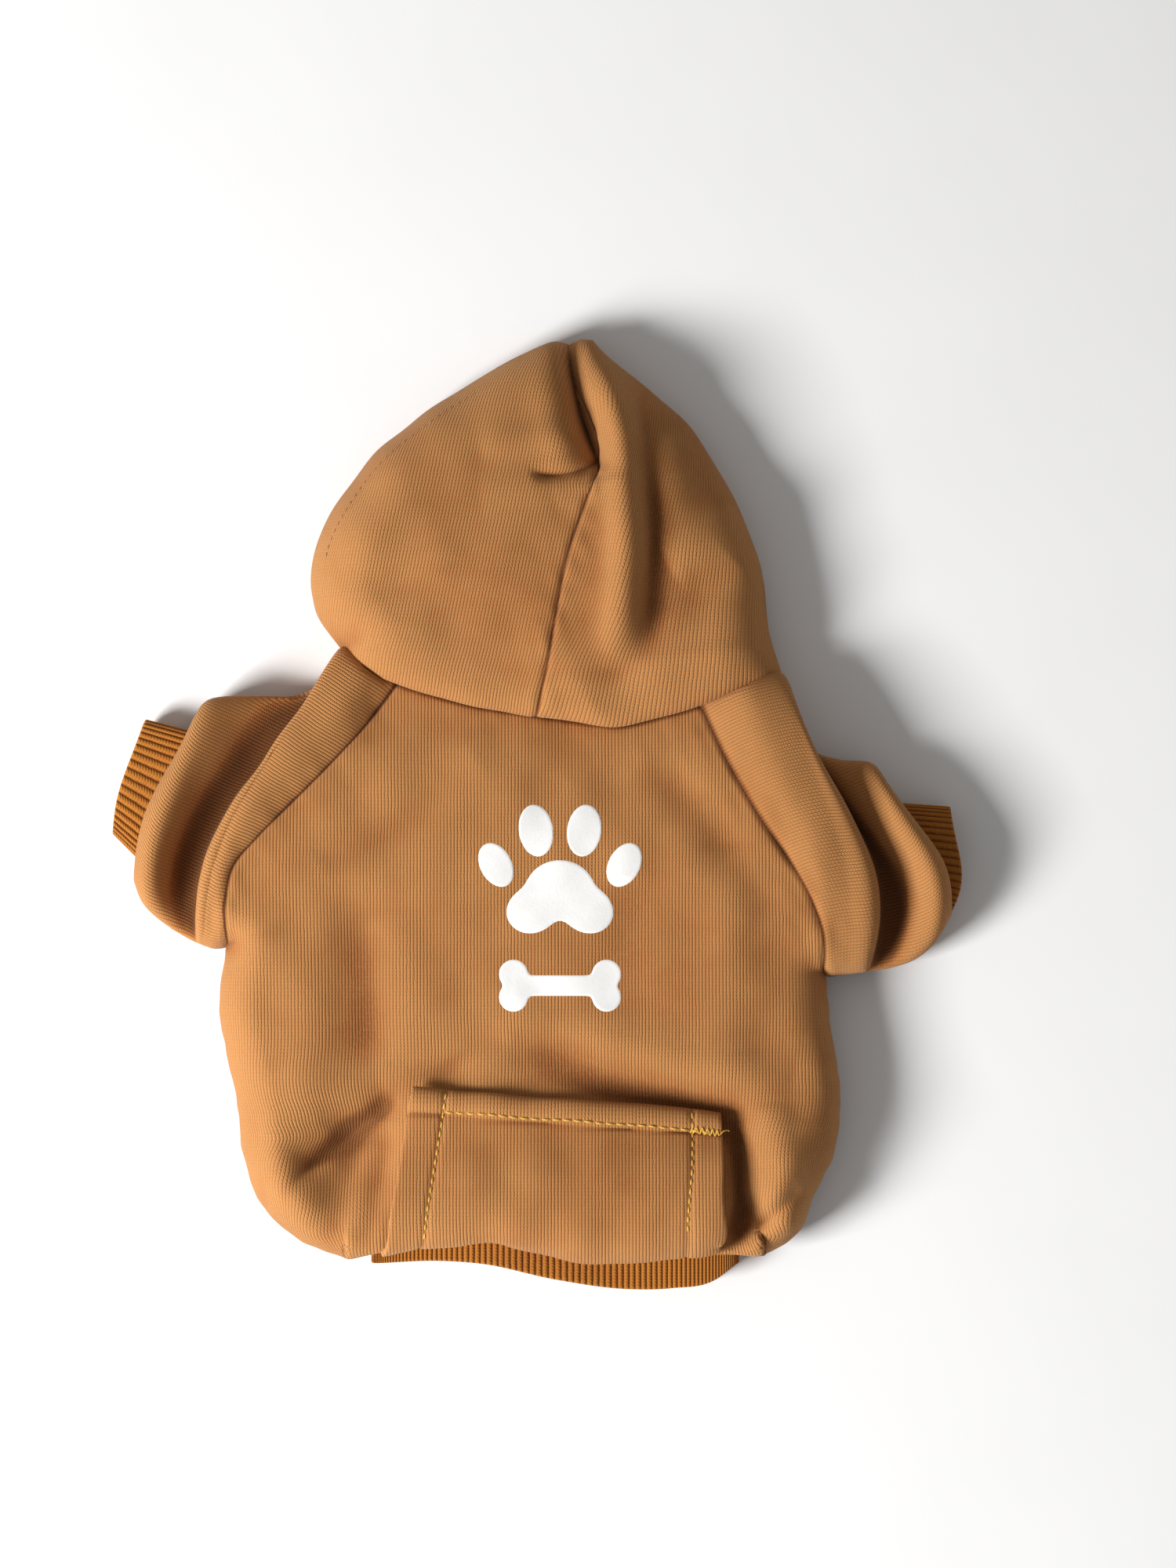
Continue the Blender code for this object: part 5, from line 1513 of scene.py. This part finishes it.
def cloth_tree(name):
    """A finished piece's faces, for finding the cloth under a place in plan."""
    data = bpy.data.objects[name].data
    places = np.empty(len(data.vertices) * 3)
    data.vertices.foreach_get("co", places)
    faces = [tuple(face.vertices) for face in data.polygons]
    return BVHTree.FromPolygons(places.reshape(-1, 3).tolist(), faces)


def on_cloth(tree, spots, proud):
    """Places in plan laid on the cloth below them, a little proud of it."""
    laid = []
    for x, y, lift in zip(spots[:, 0], spots[:, 1], np.broadcast_to(proud, len(spots))):
        place, normal, _, _ = tree.ray_cast((x, y, LOOK_FROM), (0.0, 0.0, -1.0))
        laid.append(np.array(place) + np.array(normal) * np.sign(normal[2]) * lift)
    return np.array(laid)


def new_piece(name, verts, faces, material):
    """A mesh of its own that no solid stands for."""
    data = bpy.data.meshes.new(name)
    data.from_pydata(np.asarray(verts).tolist(), [], faces)
    data.validate()
    data.shade_smooth()
    data.materials.append(material)
    piece = put_in_scene(name, data)
    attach(piece, "root")
    print(f"{name}: {len(data.polygons)} faces")


# %% The motif
PRINT_MIDDLE = np.array((0.0072, -0.0235))
PRINT_STEP = 0.00035  # side of its squares
PRINT_PROUD = 0.00014  # how far it stands off the cloth
PRINT_SUNK = 0.00002  # how far its rim is pressed into it
RIM_REACH = 0.6  # how far outside the outline a square may reach, of its side
# Pads of the paw: middle, half width and half height in metres, and turn in degrees
PADS = table(
    "x y wide high turn",
    (0.0000, 0.0010, 0.0098, 0.0084, 0),
    (-0.0082, -0.0052, 0.0074, 0.0066, 20),
    (0.0082, -0.0052, 0.0074, 0.0066, -20),
    (-0.0186, 0.0080, 0.0046, 0.0068, 28),
    (-0.0070, 0.0180, 0.0050, 0.0076, 8),
    (0.0070, 0.0180, 0.0050, 0.0076, -8),
    (0.0186, 0.0080, 0.0046, 0.0068, -28),
)
BONE = {"down": 0.0270, "half": 0.0125, "thick": 0.0030, "knob": 0.0042}
KNOB_OUT, KNOB_APART = 0.001, 0.8  # past the shaft's end, and off its line, in knobs
PAD_BLUR, BONE_BLUR = 0.0012, 0.0006  # how far shapes run into each other


def ellipse_distance(x, y, pad_x, pad_y, wide, high, turn):
    turn = np.radians(turn)
    across = (x - pad_x) * np.cos(turn) + (y - pad_y) * np.sin(turn)
    along = (y - pad_y) * np.cos(turn) - (x - pad_x) * np.sin(turn)
    return (np.hypot(across / wide, along / high) - 1) * min(wide, high)


def soft_union(shapes, blur):
    """Distance to several shapes that run into each other like wet ink."""
    shapes = np.array(shapes)
    return -blur * np.log(np.exp(-shapes / blur).sum(axis=0))


def print_distance(x, y):
    """Below 0 on the motif and above 0 off it."""
    pads = [ellipse_distance(x, y, *row) for row in zip(*PADS.values())]
    heel = soft_union(pads[:3], PAD_BLUR)
    along, across = np.abs(x) - BONE["half"], y + BONE["down"]
    bone = [np.hypot(np.maximum(along, 0.0), across) - BONE["thick"]]
    for sign in (-1, 1):
        knob = np.hypot(along - KNOB_OUT, across - sign * BONE["knob"] * KNOB_APART)
        bone.append(knob - BONE["knob"])
    return np.min([heel, *pads[3:], soft_union(bone, BONE_BLUR)], axis=0)


def make_print():
    """The motif as a fine sheet of squares, its rim drawn onto the outline and pressed down."""
    x, y = np.meshgrid(np.arange(-0.027, 0.027, PRINT_STEP), np.arange(-0.037, 0.030, PRINT_STEP))
    distance = print_distance(x, y)
    kept = squares(distance).max(axis=-1) < PRINT_STEP * RIM_REACH
    quads = squares(np.arange(x.size).reshape(x.shape))[kept]
    used, faces = np.unique(quads, return_inverse=True)
    faces = faces.reshape(-1, 4)
    rim = np.bincount(faces.ravel(), minlength=len(used)) < 4
    spots = np.stack([x.ravel()[used], y.ravel()[used]], axis=-1)
    slope = np.stack(slopes(print_distance, *spots.T, 1e-5), axis=-1)
    slope /= np.maximum((slope**2).sum(axis=1, keepdims=True), 0.2)
    spots[rim] -= distance.ravel()[used][rim, None] * slope[rim]
    proud = np.where(rim, -PRINT_SUNK, PRINT_PROUD)
    laid = on_cloth(cloth_tree("back_panel_cloth"), spots + PRINT_MIDDLE, proud)
    new_piece("paw_print", laid, faces.tolist(), vinyl_material())


def vinyl_material():
    """White heat-pressed vinyl, a little worn, with the knit showing faintly through."""
    material, tree, shader = new_material("white_vinyl")
    place = add(tree, "ShaderNodeTexCoord").outputs["Object"]
    cloud = noise(tree, place, 260.0, 4.0)
    fine = noise(tree, place, 1400.0, 3.0)
    relief = {"Height": fine, "Strength": 0.5, "Distance": 0.00008}
    looks = {
        "Base Color": mix(tree, cloud, (0.80, 0.79, 0.77, 1.0), (0.90, 0.90, 0.89, 1.0)),
        "Roughness": calc(tree, "ADD", calc(tree, "MULTIPLY", fine, 0.2), 0.4),
        "Normal": add(tree, "ShaderNodeBump", relief).outputs["Normal"],
    }
    plug(tree, shader, looks)
    return material


make_print()

# %% [markdown]
# # Stitches
# Thick mustard thread holds the pocket's sides and its turned top, and a short zigzag locks
# its right corner. Each stitch is a little bowed tube that dips into the cloth at both ends.

# %% Thread
def thread_material(name, light, dark):
    """Twisted thread: slanting ply lines, with painted shade in the grooves between them."""
    material, tree, shader = new_material(name)
    place = add(tree, "ShaderNodeTexCoord").outputs["Object"]
    twist = {"Vector": place, "Scale": 620.0, "Distortion": 2.0}
    ply = add(tree, "ShaderNodeTexWave", twist).outputs["Fac"]
    relief = {"Height": ply, "Strength": 0.6, "Distance": 0.0001}
    looks = {
        # painted shade: the low parts of the ply relief take the dark colour
        "Base Color": mix(tree, ply, dark, light),
        "Roughness": 0.6,
        "Normal": add(tree, "ShaderNodeBump", relief).outputs["Normal"],
        "Sheen Weight": 0.2,
    }
    plug(tree, shader, looks)
    return material


# the second colour of each thread is the painted shade of its ply grooves
MUSTARD = thread_material("mustard_thread", (0.74, 0.44, 0.045, 1.0), (0.50, 0.26, 0.025, 1.0))
TONAL = thread_material("caramel_thread", (0.40, 0.17, 0.05, 1.0), (0.28, 0.105, 0.03, 1.0))
TUBE_SIDES = 8
TUBE_RINGS = 9
# Kinds of stitch in metres: pitch, length, radius of the thread, how far it sinks in
TOP_STITCH = (0.0031, 0.0024, 0.00034, 0.0)
SIDE_STITCH = (0.0027, 0.0018, 0.00032, 0.00005)
HOOD_STITCH = (0.0024, 0.0016, 0.00018, 0.00008)


def tube(path, radii, verts, faces):
    """Add a closed tube along a path, with pointed ends where its radius is small."""
    run = np.gradient(path, axis=0)
    run /= np.maximum(np.linalg.norm(run, axis=1, keepdims=True), TINY)
    beside = np.cross(run, (0.0, 0.0, 1.0))
    beside /= np.maximum(np.linalg.norm(beside, axis=1, keepdims=True), TINY)
    above = np.cross(beside, run)
    turn = np.linspace(0.0, 2 * np.pi, TUBE_SIDES, endpoint=False)
    first = len(verts)
    for place, wide, high, radius in zip(path, beside, above, radii):
        verts += [place + radius * (np.cos(t) * wide + np.sin(t) * high) for t in turn]
    for start in range(first, first + (len(path) - 1) * TUBE_SIDES, TUBE_SIDES):
        for step in range(TUBE_SIDES):
            a, b = start + step, start + (step + 1) % TUBE_SIDES
            faces.append((a, b, b + TUBE_SIDES, a + TUBE_SIDES))
    faces.append(tuple(range(first, first + TUBE_SIDES)))
    last = first + (len(path) - 1) * TUBE_SIDES
    faces.append(tuple(range(last + TUBE_SIDES - 1, last - 1, -1)))


def run_of_stitches(tree, line, stitch, verts, faces):
    """Stitches along a line in plan, each laid on the cloth and bowed into it at both ends."""
    pitch, length, radius, sink = stitch
    steps = run_length(line)
    rise = np.sin(np.pi * np.linspace(0.0, 1.0, TUBE_RINGS)) ** 0.5
    for start in np.arange(pitch * 0.2, steps[-1] - length, pitch):
        at = np.linspace(start, start + length, TUBE_RINGS)
        spots = np.stack([np.interp(at, steps, line[:, k]) for k in (0, 1)], axis=-1)
        path = on_cloth(tree, spots, rise * (radius * 1.6 - sink) - radius * 0.7)
        tube(path, radius * (0.45 + 0.55 * rise), verts, faces)


# %% The pocket's stitches
def pocket_line(across, down):
    """A line in plan on the pocket: shares of its width, and metres below its top edge."""
    sheet = surfaces["pocket"]
    last = sheet.shape[1] - 1
    line = []
    for c, d in np.broadcast(np.asarray(across) * last, down):
        low = int(min(c, last - 1))
        strip = blend(sheet[:, low, :2], sheet[:, low + 1, :2], c - low)[::-1]
        depth = run_length(strip)
        line.append([np.interp(min(d, depth[-1] - 0.002), depth, strip[:, k]) for k in (0, 1)])
    return np.array(line)


SIDE_DEPTH = {POCKET_SEWN_LEFT: 0.046, POCKET_SEWN_RIGHT: 0.036}  # how far down each side
LOCK_FROM, LOCK_TO = 0.895, 0.995  # the zigzag's ends, in shares of the pocket's width
LOCK_TURNS = 13
LOCK_HEIGHT = 0.0011
LOCK_PROUD = 0.0002
LOCK_RADIUS, TAIL_RADIUS = 0.00024, 0.00018
TAIL = np.array((0.0031, 0.0012, -0.0012))  # from the last stitch to the cut end of its thread
TAIL_BOW = np.array((0.0, 0.0008, 0.0006))


def pocket_stitches():
    """Along the top and both sides, with the zigzag and its cut end over the right corner."""
    tree = cloth_tree("pocket_cloth")
    verts, faces = [], []
    even = np.linspace(0.0, 1.0, 40)
    top = pocket_line(blend(POCKET_SEWN_LEFT, LOCK_TO, even), POCKET_TURN)
    run_of_stitches(tree, top, TOP_STITCH, verts, faces)
    for across, deepest in SIDE_DEPTH.items():
        side = pocket_line(across, blend(0.0006, deepest, even))
        run_of_stitches(tree, side, SIDE_STITCH, verts, faces)
    swing = LOCK_HEIGHT * np.where(np.arange(LOCK_TURNS) % 2, -1.0, 1.0)
    zigzag = np.linspace(LOCK_FROM, LOCK_TO, LOCK_TURNS)
    zigzag = pocket_line(zigzag, POCKET_TURN + swing)
    fine = np.concatenate([blend(a, b, even[::8, None]) for a, b in zip(zigzag[:-1], zigzag[1:])])
    lock = on_cloth(tree, fine, LOCK_PROUD)
    tube(lock, np.full(len(lock), LOCK_RADIUS), verts, faces)
    along = even[::4, None]
    tail = lock[-1] + along * TAIL + np.sin(np.pi * along) * TAIL_BOW
    tube(tail, np.full(len(tail), TAIL_RADIUS), verts, faces)
    new_piece("pocket_stitches", verts, faces, MUSTARD)


pocket_stitches()

# %% The hood's stitches
HOOD_HEM = 0.0034  # from the hood's outline to its stitches
HEM_ROWS = np.linspace(0.30, 0.84, 60)  # where they run up the outline


def hood_stitches():
    """A faint run inside the left outline, in thread of the cloth's own colour."""
    verts, faces = [], []
    x = smooth(HEM_ROWS, HOOD_LEFT["row"], HOOD_LEFT["across"]) * HOOD_WIDTH
    y = smooth(HEM_ROWS, HOOD_LEFT["row"], HOOD_LEFT["along"]) * HOOD_LENGTH
    edge = np.stack([x, y], axis=-1)
    run = np.gradient(edge, axis=0)
    inward = np.stack([run[:, 1], -run[:, 0]], axis=-1)
    inward /= np.linalg.norm(inward, axis=1, keepdims=True)
    line = edge + inward * HOOD_HEM + NAPE_PLACE[:2]
    run_of_stitches(cloth_tree("hood_left_cloth"), line, HOOD_STITCH, verts, faces)
    new_piece("hood_stitches", verts, faces, TONAL)


hood_stitches()

# %% [markdown]
# # Floor, light and camera
# The garment was photographed from straight above on white, in soft daylight that falls a
# little from the lower left. One large lamp and a bright sky give the same soft shadows.

# %% Floor
def make_floor():
    """White paper, far wider than the garment."""
    data = bpy.data.meshes.new("floor")
    corners = [(-2.0, -2.0, 0.0), (2.0, -2.0, 0.0), (2.0, 2.0, 0.0), (-2.0, 2.0, 0.0)]
    data.from_pydata(corners, [], [(0, 1, 2, 3)])
    material, tree, shader = new_material("white_paper")
    grain = add(tree, "ShaderNodeTexNoise", {"Scale": 90.0, "Detail": 3.0}).outputs["Fac"]
    color = mix(tree, grain, (0.86, 0.86, 0.86, 1.0), (0.90, 0.90, 0.90, 1.0))
    plug(tree, shader, {"Base Color": color, "Roughness": 0.9})
    data.materials.append(material)
    floor = put_in_scene("floor", data)


make_floor()

# %% Light
world = bpy.data.worlds.new("sky")
bpy.context.scene.world = world
world.use_nodes = True
sky = world.node_tree.nodes["Background"]
plug(world.node_tree, sky, {"Color": (1.0, 0.98, 0.96, 1.0), "Strength": 0.28})


def lamp(name, place, size, power):
    """A square lamp that faces the garment."""
    light = bpy.data.lights.new(name, "AREA")
    light.size = size
    light.energy = power
    holder = put_in_scene(name, light)
    holder.location = place
    aim = -np.array(place)
    yaw = np.arctan2(aim[1], aim[0])
    pitch = np.arctan2(-aim[2], np.hypot(aim[0], aim[1]))
    holder.rotation_euler = (np.pi / 2 - pitch, 0.0, yaw - np.pi / 2)


lamp("window", (-1.08, -0.56, 0.80), 0.50, 35.5)
print("lamps: window")

# %% Camera
AIM = np.array((0.0153, 0.0085, 0.008))
TILT = np.radians(2.0)
DISTANCE = 1.4056
camera_data = bpy.data.cameras.new("camera")
camera_data.sensor_fit = "VERTICAL"
camera_data.sensor_height = 36.0
camera_data.lens = 110.0
camera = put_in_scene("camera", camera_data)
camera.location = AIM + DISTANCE * np.array((0.0, -np.sin(TILT), np.cos(TILT)))
camera.rotation_euler = (TILT, 0.0, 0.0)
bpy.context.scene.camera = camera
bpy.context.scene.view_settings.view_transform = "Standard"  # colours as they are set
print("camera at", np.round(camera.location, 3))
